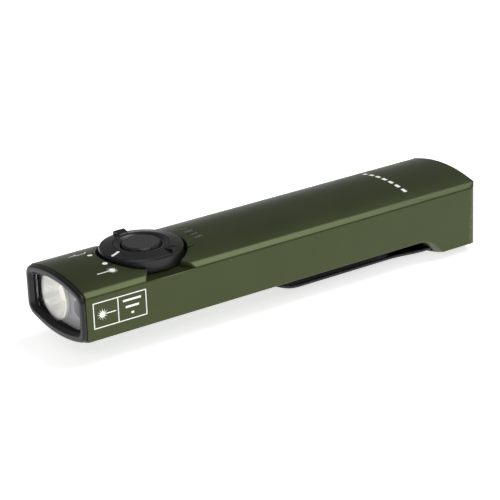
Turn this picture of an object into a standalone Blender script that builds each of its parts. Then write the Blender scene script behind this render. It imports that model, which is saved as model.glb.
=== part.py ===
"""Slim pocket torch with a white lamp, a laser pointer, a selector dial and a pocket clip.

Metres, +Z up. The light lies along X with its head towards -X. The origin is under the middle
of its bounding box, level with the lowest line of the tail heel.
"""

import bpy
import bmesh
from math import atan2, cos, pi, radians, sin, sqrt
from mathutils import Matrix, Vector

MM = 0.001

# ---- Clearances ----------------------------------------------------------------------------
GAP = 0.3 * MM            # between pieces that fit together
SEAM = 0.15 * MM          # at seams that show from outside
WELD = 0.00001            # merge distance, 0.01 mm
OVERCUT = 1.0 * MM        # how far a cutter runs past the face it opens

# ---- Body ----------------------------------------------------------------------------------
OVERALL_LENGTH = 110.5 * MM
BODY_WIDTH = 25.0 * MM
BODY_HEIGHT = 15.0 * MM       # crown to belly, ahead of the heel
CROWN_RADIUS = 37.5 * MM      # the rounded top
BELLY_RADIUS = 38.0 * MM      # the rounded underside, and the heel's
CHAMFER_RUN = 1.2 * MM        # long edge chamfer, across
CHAMFER_DROP = 0.92 * MM      # long edge chamfer, down
BELLY_CORNER = 0.3 * MM       # small round where belly meets side
TAIL_CORNER = 2.6 * MM        # tail corners, seen from above
SIDE_WALL = 1.4 * MM
BELLY_WALL = 2.0 * MM
END_WALL = 5.2 * MM           # solid metal at the tail
CAVITY_CORNER = 2.0 * MM

# ---- Heel under the tail --------------------------------------------------------------------
HEEL_DROP = 4.13 * MM         # how far the heel stands below the belly
HEEL_LENGTH = 17.75 * MM      # tail face to where the belly starts to curve down
HEEL_FILLET = 6.9 * MM
HEEL_RAMP = radians(45)
HEEL_FILLET_STEPS = 5

# ---- Head: bezel, window and optics ---------------------------------------------------------
BEZEL_DEPTH = 0.9 * MM
BEZEL_INSET = 0.1 * MM        # bezel behind the body's outline, at its rear
BEZEL_TAPER = 0.35 * MM       # how much the rim draws in at its front
BEZEL_CORNER = 2.5 * MM
BEZEL_TOP_INSET = 0.2 * MM    # as BEZEL_INSET, at top and bottom
BEZEL_TOP_TAPER = 0.49 * MM
BEZEL_ROUND = 0.35 * MM       # depth of the soft front edge
BEZEL_SHARE = 0.15            # taper left where the soft edge ends
RIM_WIDTH = 1.0 * MM          # rim, outline to window, at the front
WINDOW_BEVEL = 0.6 * MM       # inward slope of the window's inner wall
WINDOW_CORNER = 1.6 * MM
BAY_WALL = 1.28 * MM          # metal round the optics bay
BAY_DEPTH = 10.4 * MM
BAY_CORNER = 2.2 * MM
GASKET_THICKNESS = 0.3 * MM
GASKET_WIDTH = 0.6 * MM
GLASS_THICKNESS = 0.8 * MM
LENS_Y = 4.0 * MM             # white lamp, off centre
LENS_FLANGE = 0.6 * MM
LENS_DEPTH = 5.9 * MM         # front face to rear end
LENS_REAR_RADIUS = 2.3 * MM
LENS_DOME = 0.25 * MM
LENS_POCKET_RADIUS = 1.5 * MM
LENS_POCKET_DEPTH = 2.3 * MM
LENS_STEP = 0.95 * MM         # flange overhang past the lens body
LENS_GAP = 0.35 * MM          # glass to the lens's front face
PLATE_THICKNESS = 1.0 * MM
CARRIER_LENGTH = 4.3 * MM
LED_BOARD_THICKNESS = 1.2 * MM
LED_WIDTH = 2.4 * MM
LED_THICKNESS = 0.4 * MM
LED_DOME_RADIUS = 0.9 * MM
HEAT_SINK_LENGTH = 2.0 * MM
LASER_Y = -5.2 * MM
LASER_DROP = 0.5 * MM         # laser axis below the lamp axis
LASER_RADIUS = 3.0 * MM
LASER_LENGTH = 11.0 * MM
LASER_WALL = 0.7 * MM
LASER_APERTURE = 1.5 * MM     # radius of the hole in the barrel's lip
LASER_LIP = 0.6 * MM
LASER_LENS_THICKNESS = 1.1 * MM
DIODE_LENGTH = 3.4 * MM
DIODE_FLANGE = 0.8 * MM
LASER_BOARD_THICKNESS = 0.8 * MM
PLATE_PORT_RADIUS = 2.1 * MM  # laser port in the optic plate

# ---- Selector dial and button ---------------------------------------------------------------
DIAL_SETBACK = 21.9 * MM      # body front face to the dial's axis
RING_RADIUS = 9.57 * MM
RING_EDGE_HEIGHT = 0.69 * MM  # ring's outer edge above the crown
RING_RISE = 0.65 * MM         # its conical top, edge to hub
RING_BEVEL = 0.25 * MM
POCKET_GAP = 0.73 * MM        # shadow gap round the ring
POCKET_LIP = 0.12 * MM        # pocket floor below the top of the body's sides
POCKET_WALL = 1.15 * MM       # metal under the pocket floor
NOTCH_INNER = 8.2 * MM        # finger notch length at the ring
NOTCH_OUTER = 12.9 * MM       # finger notch length at the body's side
NOTCH_START_Y = 9.0 * MM
RING_LAND = 3.47 * MM         # hub's rim to the ring's edge
HUB_FLANGE_REACH = 0.6 * MM   # hub's flange past its sleeve
HUB_RIM_WIDTH = 1.35 * MM     # hub's rim to its bore
HUB_FLANGE = 1.1 * MM
HUB_DISH = 0.6 * MM           # how far the hub's top dips to the button
HUB_SEAT_DEPTH = 0.5 * MM
HUB_EDGE = 0.1 * MM           # small bevel on the hub's rim
TAB_WIDTH = 2.3 * MM
TAB_HEIGHT = 0.95 * MM        # finger tabs above the ring's outer edge
TAB_TOE_HEIGHT = 0.45 * MM    # their inner end, just inside the ring's cone
TAB_FOOT = 0.6 * MM           # how far they run down into the ring
TAB_TOE_GAP = 0.6 * MM        # hub's rim to the tab's toe
TAB_CREST_INSET = 0.52 * MM   # in from the ring's edge
TAB_END_INSET = 0.17 * MM
TAB_END_DROP = 0.5 * MM       # crest to the blunt outer end
TAB_SPREAD = 102.5            # degrees from the index line to each tab
INDEX_ANGLE = 194.0           # degrees from +X: where the index line points at rest
SELECTOR_TRAVEL = 30.0        # degrees between the two settings
SEAL_WIRE = 0.35 * MM         # radius of the ring seal's section
MAGNET_RADIUS = 0.65 * MM
RING_MAGNET_HEIGHT = 0.9 * MM
DETENT_MAGNET_HEIGHT = 0.45 * MM
MAGNET_INSET = 1.27 * MM      # magnets' middles in from the ring's edge
BUTTON_FACE_INSET = 0.35 * MM   # button's flat face inside its side
BUTTON_PROUD = 0.1 * MM       # button face above the hub's rim
BUTTON_FACET_DROP = 0.6 * MM
BUTTON_FACETS = 10
BUTTON_FACET_TURN = 4.0       # degrees the facets are turned from the index line
BUTTON_TOP_THICKNESS = 1.2 * MM
BUTTON_SKIRT = 0.6 * MM
BUTTON_FLANGE = 0.5 * MM
BUTTON_FLANGE_REACH = 0.45 * MM
BUTTON_TRAVEL = 0.6 * MM
STEM_RADIUS = 1.4 * MM
SPRING_WIRE = 0.18 * MM       # radius
SPRING_INSET = 1.25 * MM      # spring inside the button's side
SPRING_TURNS = 3
STEM_SEAL_WIDTH = 0.7 * MM
STEM_SEAL_HEIGHT = 0.7 * MM

# ---- Electronics ----------------------------------------------------------------------------
SWITCH_WIDTH = 6.0 * MM
SWITCH_HEIGHT = 1.9 * MM
SWITCH_FLOOR = 0.3 * MM
PLUNGER_RADIUS = 1.0 * MM
PLUNGER_PROUD = 0.6 * MM      # plunger above the switch
BOARD_THICKNESS = 1.0 * MM
BOARD_AHEAD = 5.7 * MM        # driver board, dial axis to front edge
BOARD_BEHIND = 18.3 * MM      # driver board, dial axis to rear edge
CHIP_INSET = 0.5 * MM         # chip from the board's rear edge
CHIP_WIDTH = 4.0 * MM
CHIP_HEIGHT = 0.9 * MM
INDUCTOR_BEHIND = 2.0 * MM    # behind the dial's axis
INDUCTOR_CORNER = 0.8 * MM
INDUCTOR_WIDTH = 4.4 * MM
INDUCTOR_HEIGHT = 2.0 * MM
SENSOR_WIDTH = 2.0 * MM
SENSOR_HEIGHT = 0.7 * MM
BAR_COUNT = 4                 # charge indicator
BAR_PITCH = 2.09 * MM
BAR_LENGTH = 2.3 * MM
BAR_WIDTH = 0.5 * MM
BAR_CENTRE_Y = 0.64 * MM
BAR_SETBACK = 13.75 * MM      # dial axis to the bars' middle
BAR_BASE_HEIGHT = 0.7 * MM
BAR_BASE_MARGIN = 0.5 * MM
BAR_LED_HEIGHT = 0.4 * MM
BAR_LED_SIZE = 0.8 * MM
LEAD_RADIUS = 0.35 * MM
BATTERY_LEAD_Y = 4.5 * MM
LEAD_START_Y = 1.6 * MM       # charging leads: in from the driver board's side
LEAD_END_Y = 2.2 * MM         # and their height on the charging board
LEAD_STEP = 1.5 * MM          # length of each bend in a lead

# ---- Battery --------------------------------------------------------------------------------
LEAD_CHANNEL = 1.25 * MM      # room for the leads beside the cell
CELL_HEADROOM = 0.6 * MM
PAD_THICKNESS = 0.35 * MM
PAD_MARGIN = 2.5 * MM
CELL_CORNER = 1.6 * MM
PROTECTION_THICKNESS = 0.6 * MM
CELL_SETBACK = 1.8 * MM       # driver board to the cell
CELL_TAIL_ROOM = 7.6 * MM     # cell to the end of the cavity

# ---- Charging contacts at the tail ----------------------------------------------------------
PORT_RADIUS = 6.0 * MM
PORT_DEPTH = 4.3 * MM
PORT_NECK_RADIUS = 4.2 * MM
PORT_NECK_REACH = 0.7 * MM    # insulator's neck into the cavity
PORT_RECESS = 0.3 * MM        # contacts below the tail face
CONTACT_RING_OUTER = 4.9 * MM
CONTACT_RING_INNER = 3.7 * MM
CONTACT_RING_DEPTH = 0.95 * MM
PIN_RADIUS = 1.3 * MM
TAIL_SEAL_WIRE = 0.4 * MM
TAIL_MAGNET_MARGIN = 0.53 * MM  # magnet to the cavity's top and bottom
TAIL_MAGNET_BORE = 1.7 * MM
TAIL_MAGNET_LENGTH = 2.0 * MM
CHARGE_BOARD_MARGIN = 0.63 * MM # board to the cavity's top and bottom
CHARGE_BOARD_THICKNESS = 0.9 * MM
TAIL_GROOVE_SETBACK = 1.4 * MM  # seal groove from the insulator's shoulder

# ---- Pocket clip ----------------------------------------------------------------------------
CLIP_THICKNESS = 0.9 * MM
CLIP_WIDTH = 18.0 * MM
CLIP_REACH = 56.3 * MM        # tail face to the clip's tip
CLIP_STANDOFF = 1.75 * MM     # free space between clip and belly
CLIP_ROOT_DEPTH = 7.0 * MM    # how far the root runs into the heel's slot
CLIP_ROOT_SINK = 0.62 * MM    # root below the blade
CLIP_BEND_LENGTH = 11.0 * MM
CLIP_BEND_GAP = 2.5 * MM      # end of the bend to the heel's front corner
CLIP_TIP_LENGTH = 5.7 * MM
CLIP_TIP_RADIUS = 11.5 * MM
CLIP_PLAN_CORNER = 4.0 * MM
SCREW_SPACING = 10.0 * MM     # across the clip
SCREW_SETBACK = 3.4 * MM      # heel's front corner to the screws
SCREW_HEAD_RADIUS = 1.7 * MM
SCREW_HEAD_HEIGHT = 0.45 * MM
SCREW_RADIUS = 0.8 * MM
SCREW_LENGTH = 4.2 * MM
SCREW_SOCKET_RADIUS = 0.65 * MM
SCREW_SOCKET_DEPTH = 0.6 * MM

# ---- Facets ---------------------------------------------------------------------------------
CROWN_STEPS = 12
CORNER_STEPS = 3
SHOWN_STEPS = 48              # turned pieces that show
HIDDEN_STEPS = 24             # turned pieces inside

# ---- Derived places -------------------------------------------------------------------------
HEAD_X = -OVERALL_LENGTH / 2
TAIL_X = OVERALL_LENGTH / 2
FACE_X = HEAD_X + BEZEL_DEPTH + SEAM
HALF_WIDTH = BODY_WIDTH / 2
BELLY_Z = HEEL_DROP
CROWN_Z = HEEL_DROP + BODY_HEIGHT
AXIS_Z = HEEL_DROP + BODY_HEIGHT / 2


def arch_drop(radius, across):
    """How far an arch of this radius falls at a distance across from its middle."""
    return radius - sqrt(radius ** 2 - across ** 2)


CHAMFER_Y = HALF_WIDTH - CHAMFER_RUN
CHAMFER_TOP = CROWN_Z - arch_drop(CROWN_RADIUS, CHAMFER_Y)
SIDE_TOP = CHAMFER_TOP - CHAMFER_DROP
POCKET_FLOOR = SIDE_TOP - POCKET_LIP
CAVITY_TOP = POCKET_FLOOR - POCKET_WALL
CAVITY_BOTTOM = BELLY_Z + BELLY_WALL
CAVITY_HALF = HALF_WIDTH - SIDE_WALL
CAVITY_END = TAIL_X - END_WALL
CAVITY_Z = (CAVITY_TOP + CAVITY_BOTTOM) / 2
CAVITY_RISE = (CAVITY_TOP - CAVITY_BOTTOM) / 2          # middle to top
DIAL_X = FACE_X + DIAL_SETBACK
BAY_END = FACE_X + BAY_DEPTH
BAY_HALF = HALF_WIDTH - BAY_WALL
BAY_TOP = CROWN_Z - BAY_WALL
BAY_BOTTOM = BELLY_Z + BAY_WALL

# Glass, gasket and plates share one outline, a gap inside the bay.
FIT_HALF = BAY_HALF - GAP
FIT_TOP = BAY_TOP - GAP
FIT_BOTTOM = BAY_BOTTOM + GAP
FIT_CORNER = BAY_CORNER - GAP

GASKET_X = FACE_X + SEAM / 2
GLASS_X = GASKET_X + GASKET_THICKNESS + SEAM
LENS_X = GLASS_X + GLASS_THICKNESS + LENS_GAP
PLATE_X = LENS_X + LENS_FLANGE + GAP
CARRIER_X = PLATE_X + PLATE_THICKNESS + GAP
LED_BOARD_X = CARRIER_X + CARRIER_LENGTH + GAP
HEAT_SINK_X = LED_BOARD_X + LED_BOARD_THICKNESS + GAP
LASER_X = PLATE_X + PLATE_THICKNESS + GAP
LASER_Z = AXIS_Z - LASER_DROP
LENS_RADIUS = min(AXIS_Z - BAY_BOTTOM - arch_drop(BELLY_RADIUS, LENS_Y),
                  BAY_TOP - arch_drop(CROWN_RADIUS, LENS_Y) - AXIS_Z) - GAP
LENS_BODY_RADIUS = LENS_RADIUS - LENS_STEP
LASER_BOARD_X = LASER_X + LASER_LENGTH + GAP

HUB_RADIUS = RING_RADIUS - RING_LAND
HUB_SLEEVE = HUB_RADIUS - HUB_FLANGE_REACH
HUB_BORE = HUB_RADIUS - HUB_RIM_WIDTH
TAB_TOE_RADIUS = HUB_RADIUS + TAB_TOE_GAP
TAB_CREST_RADIUS = RING_RADIUS - TAB_CREST_INSET
TAB_END_RADIUS = RING_RADIUS - TAB_END_INSET
MAGNET_ORBIT = RING_RADIUS - MAGNET_INSET
BUTTON_RADIUS = HUB_BORE - GAP
BUTTON_FACE_RADIUS = BUTTON_RADIUS - BUTTON_FACE_INSET
SPRING_RADIUS = BUTTON_RADIUS - SPRING_INSET

RING_BOTTOM = POCKET_FLOOR + GAP
RING_EDGE_Z = CROWN_Z + RING_EDGE_HEIGHT
HUB_TOP = RING_EDGE_Z + RING_RISE
POCKET_RADIUS = RING_RADIUS + POCKET_GAP
RING_COUNTERBORE = HUB_RADIUS + GAP
RING_BORE = HUB_SLEEVE + GAP
RING_SHELF = HUB_TOP - HUB_FLANGE - GAP
SEAL_RADIUS = RING_BORE + GAP + SEAL_WIRE
MAGNET_POCKET = MAGNET_RADIUS + GAP
DETENT_ANGLE = INDEX_ANGLE - 180.0
BUTTON_TOP = HUB_TOP + BUTTON_PROUD
HUB_BOTTOM = POCKET_FLOOR - HUB_SEAT_DEPTH + GAP
FLANGE_RADIUS = BUTTON_RADIUS + BUTTON_FLANGE_REACH
HUB_LOWER_BORE = FLANGE_RADIUS + GAP / 2
FLANGE_BOTTOM = POCKET_FLOOR + GAP + BUTTON_TRAVEL + GAP
HUB_SHOULDER = FLANGE_BOTTOM + BUTTON_FLANGE + GAP
CROWN_UNDERSIDE = BUTTON_TOP - BUTTON_TOP_THICKNESS
STEM_TIP = CAVITY_TOP + GAP

PLUNGER_TOP = STEM_TIP - GAP
SWITCH_TOP = PLUNGER_TOP - PLUNGER_PROUD - BUTTON_TRAVEL / 2
SWITCH_BOTTOM = SWITCH_TOP - SWITCH_HEIGHT
BOARD_TOP = SWITCH_BOTTOM - GAP
BOARD_BOTTOM = BOARD_TOP - BOARD_THICKNESS
BOARD_FRONT = DIAL_X - BOARD_AHEAD
BOARD_REAR = DIAL_X + BOARD_BEHIND
BOARD_HALF = CAVITY_HALF - 2 * GAP
BAR_X = DIAL_X + BAR_SETBACK
BAR_BASE_TOP = CAVITY_TOP - GAP

CELL_X = BOARD_REAR + CELL_SETBACK
CELL_END = CAVITY_END - CELL_TAIL_ROOM
CELL_HALF = CAVITY_HALF - LEAD_CHANNEL
CELL_BOTTOM = CAVITY_BOTTOM + SEAM + PAD_THICKNESS + SEAM
CELL_TOP = CAVITY_TOP - CELL_HEADROOM

TAIL_MAGNET_RADIUS = CAVITY_RISE - TAIL_MAGNET_MARGIN
CHARGE_BOARD_RADIUS = CAVITY_RISE - CHARGE_BOARD_MARGIN
PORT_NECK_END = CAVITY_END - PORT_NECK_REACH
PIN_END = PORT_NECK_END - GAP
TAIL_MAGNET_END = PIN_END - GAP
CHARGE_BOARD_END = TAIL_MAGNET_END - TAIL_MAGNET_LENGTH - GAP
CHARGE_BOARD_FACE = CHARGE_BOARD_END - CHARGE_BOARD_THICKNESS

HEEL_X = TAIL_X - HEEL_LENGTH
RAMP_START_X = HEEL_X + HEEL_FILLET * sin(HEEL_RAMP)
RAMP_START_DROP = HEEL_FILLET * (1 - cos(HEEL_RAMP))
HEEL_CORNER_X = RAMP_START_X + (HEEL_DROP - RAMP_START_DROP) / (sin(HEEL_RAMP) / cos(HEEL_RAMP))

CLIP_BLADE_Z = BELLY_Z - CLIP_STANDOFF - CLIP_THICKNESS / 2
CLIP_ROOT_Z = CLIP_BLADE_Z - CLIP_ROOT_SINK
CLIP_TIP_X = TAIL_X - CLIP_REACH
CLIP_BEND_X = HEEL_CORNER_X - CLIP_BEND_GAP - CLIP_BEND_LENGTH
CLIP_END_X = HEEL_CORNER_X + CLIP_ROOT_DEPTH
SCREW_X = HEEL_CORNER_X + SCREW_SETBACK
SCREW_FACE_Z = arch_drop(BELLY_RADIUS, SCREW_SPACING / 2 + SCREW_HEAD_RADIUS)

ALONG_X = (0, radians(90), 0)                  # a turned piece's axis laid along +X
SECTION = (radians(90), 0, radians(90))        # a flat outline stood across the body


# ---- Scene and materials --------------------------------------------------------------------

def clear_scene():
    for obj in list(bpy.data.objects):
        bpy.data.objects.remove(obj, do_unlink=True)


def new_collection(name):
    collection = bpy.data.collections.new(name)
    bpy.context.scene.collection.children.link(collection)
    return collection


clear_scene()
parts = new_collection("pocket_torch")
cutters = new_collection("cutters")


def material(name, colour, roughness, metallic=0.0, alpha=1.0):
    made = bpy.data.materials.new(name)
    made.use_nodes = True
    shader = made.node_tree.nodes["Principled BSDF"]
    shader.inputs["Base Color"].default_value = (*colour, 1.0)
    shader.inputs["Roughness"].default_value = roughness
    shader.inputs["Metallic"].default_value = metallic
    shader.inputs["Alpha"].default_value = alpha
    made.diffuse_color = (*colour, alpha)
    return made


OLIVE = material("olive_anodised", (0.065, 0.085, 0.033), 0.48, 0.55)
BLACK = material("black_anodised", (0.022, 0.022, 0.026), 0.4, 0.6)
BUTTON = material("black_button", (0.03, 0.03, 0.033), 0.5)
GLASS = material("clear_glass", (0.9, 0.93, 0.92), 0.04, 0.0, 0.25)
ACRYLIC = material("clear_acrylic", (0.93, 0.93, 0.9), 0.05, 0.0, 0.4)
SATIN = material("satin_grey", (0.42, 0.42, 0.42), 0.4, 0.4)
ALUMINIUM = material("bare_aluminium", (0.6, 0.6, 0.61), 0.35, 0.9)
BRASS = material("brass", (0.6, 0.42, 0.17), 0.3, 0.95)
STEEL = material("spring_steel", (0.5, 0.5, 0.52), 0.3, 0.95)
RUBBER = material("black_rubber", (0.012, 0.012, 0.012), 0.8)
BOARD = material("green_board", (0.01, 0.11, 0.05), 0.5)
WHITE_BOARD = material("white_board", (0.75, 0.75, 0.72), 0.5)
CHIP = material("chip_black", (0.02, 0.02, 0.022), 0.5)
PHOSPHOR = material("led_phosphor", (0.85, 0.72, 0.2), 0.35)
MAGNET = material("nickel_plate", (0.55, 0.54, 0.5), 0.25, 0.95)
GOLD = material("gold_plate", (0.78, 0.55, 0.2), 0.22, 1.0)
CELL_WRAP = material("cell_wrap", (0.06, 0.12, 0.28), 0.45)
FOAM = material("black_foam", (0.02, 0.02, 0.02), 0.95)
CLIP_BLACK = material("clip_black", (0.02, 0.02, 0.022), 0.35, 0.7)
SCREW_BLACK = material("screw_black", (0.03, 0.03, 0.03), 0.3, 0.8)
RED_LEAD = material("red_lead", (0.45, 0.02, 0.02), 0.5)
BLACK_LEAD = material("black_lead", (0.015, 0.015, 0.015), 0.5)
DIFFUSER = material("milky_diffuser", (0.6, 0.64, 0.6), 0.35)
PLASTIC = material("black_plastic", (0.02, 0.02, 0.02), 0.55)


# ---- Shape helpers --------------------------------------------------------------------------

def place(name, mesh, look=None, location=(0, 0, 0), rotation=(0, 0, 0)):
    """An object in the parts collection when it has a look, otherwise among the cutters."""
    obj = bpy.data.objects.new(name, mesh)
    obj.location = location
    obj.rotation_euler = rotation
    if look is None:
        cutters.objects.link(obj)
        obj.hide_render = True
        obj.display_type = "WIRE"
    else:
        parts.objects.link(obj)
        mesh.materials.append(look)
    return obj


def mesh_from(bm, name):
    mesh = bpy.data.meshes.new(name)
    bm.normal_update()
    bm.to_mesh(mesh)
    bm.free()
    return mesh


def smooth(mesh, angle=35):
    mesh.shade_smooth()
    mesh.set_sharp_from_angle(angle=radians(angle))


def box(name, low, high, look=None):
    """A box between two corners, with its origin at its middle."""
    size = Vector(high) - Vector(low)
    bm = bmesh.new()
    bmesh.ops.create_cube(bm, size=1.0, matrix=Matrix.Diagonal((*size, 1)))
    return place(name, mesh_from(bm, name), look, (Vector(low) + Vector(high)) / 2)


def rod(name, radius, low, high, centre, look=None, steps=HIDDEN_STEPS, rotation=(0, 0, 0)):
    """A plain cylinder along local Z from low to high, at the given centre."""
    bm = bmesh.new()
    lift = Matrix.Translation((0, 0, (low + high) / 2))
    bmesh.ops.create_cone(bm, cap_ends=True, segments=steps, radius1=radius, radius2=radius,
                          depth=high - low, matrix=lift)
    mesh = mesh_from(bm, name)
    smooth(mesh)
    return place(name, mesh, look, centre, rotation)


def turned(name, profile, centre, look=None, steps=HIDDEN_STEPS, rotation=(0, 0, 0), ring=False):
    """A profile of (radius, height) points, outer side running down, spun round local Z."""
    mesh = bpy.data.meshes.new(name)
    links = [(i, i + 1) for i in range(len(profile) - 1)]
    if ring:
        links.append((len(profile) - 1, 0))
    mesh.from_pydata([(r, 0, z) for r, z in profile], links, [])
    obj = place(name, mesh, look, centre, rotation)
    spin = obj.modifiers.new("turn", "SCREW")
    spin.axis = "Z"
    spin.steps = steps
    spin.render_steps = steps
    spin.use_merge_vertices = True
    spin.merge_threshold = WELD
    spin.use_smooth_shade = True
    return obj


def washer(name, inner, outer, low, high, centre, look=None, steps=HIDDEN_STEPS, rotation=(0, 0, 0)):
    profile = [(outer, high), (outer, low), (inner, low), (inner, high)]
    return turned(name, profile, centre, look, steps, rotation, ring=True)


def seal_ring(name, radius, wire, centre, look, rotation=(0, 0, 0), steps=HIDDEN_STEPS, sides=8):
    """An O-ring: a small circle spun round local Z."""
    profile = []
    for i in range(sides):
        turn = -2 * pi * i / sides
        profile.append((radius + wire * cos(turn), wire * sin(turn)))
    return turned(name, profile, centre, look, steps, rotation, ring=True)


def slab(name, outline, thickness, look=None, location=(0, 0, 0), rotation=(0, 0, 0)):
    """A flat outline given a thickness: a filled 2D curve made a closed mesh."""
    data = bpy.data.curves.new(name, "CURVE")
    data.dimensions = "2D"
    data.fill_mode = "BOTH"
    data.extrude = thickness / 2
    spline = data.splines.new("POLY")
    spline.points.add(len(outline) - 1)
    for point, (x, y) in zip(spline.points, outline):
        point.co = (x, y, 0, 1)
    spline.use_cyclic_u = True
    flat = bpy.data.objects.new(name, data)
    cutters.objects.link(flat)
    mesh = curve_mesh(flat, name)
    return place(name, mesh, look, location, rotation)


def curve_mesh(curve, name):
    """The curve object as a closed mesh; the curve itself is removed."""
    view = bpy.context.evaluated_depsgraph_get()
    mesh = bpy.data.meshes.new_from_object(curve.evaluated_get(view))
    mesh.name = name
    mesh.materials.clear()
    bm = bmesh.new()
    bm.from_mesh(mesh)
    bmesh.ops.remove_doubles(bm, verts=bm.verts, dist=0.000001)
    bm.to_mesh(mesh)
    bm.free()
    bpy.data.objects.remove(curve, do_unlink=True)
    return mesh


def across(name, outline, x_from, x_to, look=None):
    """A (y, z) outline carried along X between two places."""
    middle = ((x_from + x_to) / 2, 0, 0)
    return slab(name, outline, x_to - x_from, look, middle, SECTION)


def loft(name, sections, look=None):
    """A skin over (x, outline) sections that have the same number of (y, z) points."""
    bm = bmesh.new()
    rings = []
    for x, outline in sections:
        rings.append([bm.verts.new((x, y, z)) for y, z in outline])
    count = len(rings[0])
    for near, far in zip(rings, rings[1:]):
        for i in range(count):
            j = (i + 1) % count
            bm.faces.new((near[i], near[j], far[j], far[i]))
    bm.faces.new(list(reversed(rings[0])))
    bm.faces.new(rings[-1])
    bmesh.ops.recalc_face_normals(bm, faces=bm.faces)
    mesh = mesh_from(bm, name)
    smooth(mesh)
    return place(name, mesh, look)


def wire(name, points, radius, look):
    """A round wire along a smooth run of points."""
    data = bpy.data.curves.new(name, "CURVE")
    data.dimensions = "3D"
    data.bevel_depth = radius
    data.bevel_resolution = 1
    data.use_fill_caps = True
    spline = data.splines.new("POLY")
    spline.points.add(len(points) - 1)
    for point, place_at in zip(spline.points, points):
        point.co = (*place_at, 1)
    obj = bpy.data.objects.new(name, data)
    parts.objects.link(obj)
    data.materials.append(look)
    return obj


def smooth_run(points, steps=4):
    """Points along a Catmull-Rom curve through the given ones."""
    ends = [points[0]] + list(points) + [points[-1]]
    run = []
    for a, b, c, d in zip(ends, ends[1:], ends[2:], ends[3:]):
        a, b, c, d = Vector(a), Vector(b), Vector(c), Vector(d)
        for i in range(steps):
            t = i / steps
            run.append(0.5 * (2 * b + (c - a) * t + (2 * a - 5 * b + 4 * c - d) * t ** 2
                              + (3 * b - a - 3 * c + d) * t ** 3))
    run.append(Vector(points[-1]))
    return run


def boolean(target, tool, operation="DIFFERENCE"):
    step = target.modifiers.new(operation.lower() + "_" + tool.name, "BOOLEAN")
    step.operation = operation
    step.solver = "EXACT"
    step.object = tool
    return target


# ---- Outlines -------------------------------------------------------------------------------

def crowned_outline(half, top, bottom, corner, top_radius=CROWN_RADIUS, bottom_radius=BELLY_RADIUS):
    """Straight sides, arched top and bottom, rounded corners, as (y, z) points anticlockwise."""
    outline = []
    for sign, apex, radius in ((1, top, top_radius), (-1, bottom, bottom_radius)):
        centre_y = half - corner
        rise = sqrt((radius - corner) ** 2 - centre_y ** 2)
        centre_z = apex - sign * radius
        meet = atan2(rise, centre_y)
        run = []
        for i in range(CORNER_STEPS + 1):
            turn = meet * i / CORNER_STEPS
            run.append((centre_y + corner * cos(turn), centre_z + sign * (rise + corner * sin(turn))))
        for i in range(1, CROWN_STEPS):
            turn = meet + (pi - 2 * meet) * i / CROWN_STEPS
            run.append((radius * cos(turn), centre_z + sign * radius * sin(turn)))
        run += [(-y, z) for y, z in reversed(run[:CORNER_STEPS + 1])]
        outline += run if sign > 0 else run[::-1]
    return outline


def body_outline(drop=0.0):
    """The body's section: crown, long chamfers, flat sides and an arched belly lowered by drop."""
    top = [(HALF_WIDTH, SIDE_TOP)]
    span = atan2(CHAMFER_Y, sqrt(CROWN_RADIUS ** 2 - CHAMFER_Y ** 2))
    for i in range(CROWN_STEPS + 1):
        turn = span * (1 - 2 * i / CROWN_STEPS)
        top.append((CROWN_RADIUS * sin(turn), CROWN_Z - CROWN_RADIUS + CROWN_RADIUS * cos(turn)))
    top.append((-HALF_WIDTH, SIDE_TOP))
    lower = crowned_outline(HALF_WIDTH, CROWN_Z, BELLY_Z, BELLY_CORNER)
    lower = lower[len(lower) // 2:]
    return top + [(y, z - drop) for y, z in lower]


def rounded_box_outline(half, low, high, corner, steps=CORNER_STEPS):
    """A box with round corners about the middle line, as (u, v) points anticlockwise."""
    outline = []
    corners = ((half - corner, high - corner, 0), (-half + corner, high - corner, 90),
               (-half + corner, low + corner, 180), (half - corner, low + corner, 270))
    for u, v, start in corners:
        for i in range(steps + 1):
            turn = radians(start + 90 * i / steps)
            outline.append((u + corner * cos(turn), v + corner * sin(turn)))
    return outline


def heel_drop(x):
    """How far the underside has dropped at x: a concave fillet, then a ramp, then level."""
    run = x - HEEL_X
    if run <= 0:
        return 0.0
    if x < RAMP_START_X:
        return HEEL_FILLET - sqrt(HEEL_FILLET ** 2 - run ** 2)
    return min(HEEL_DROP, RAMP_START_DROP + (x - RAMP_START_X) * sin(HEEL_RAMP) / cos(HEEL_RAMP))


def heel_stations():
    stations = [FACE_X]
    for i in range(HEEL_FILLET_STEPS + 1):
        stations.append(HEEL_X + HEEL_FILLET * sin(HEEL_RAMP * i / HEEL_FILLET_STEPS))
    return stations + [HEEL_CORNER_X, TAIL_X]


def polar(radius, angle, height):
    """A point round the dial's axis, angle in degrees from +X."""
    return (DIAL_X + radius * cos(radians(angle)), radius * sin(radians(angle)), height)


# ---- Body shell -----------------------------------------------------------------------------

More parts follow.
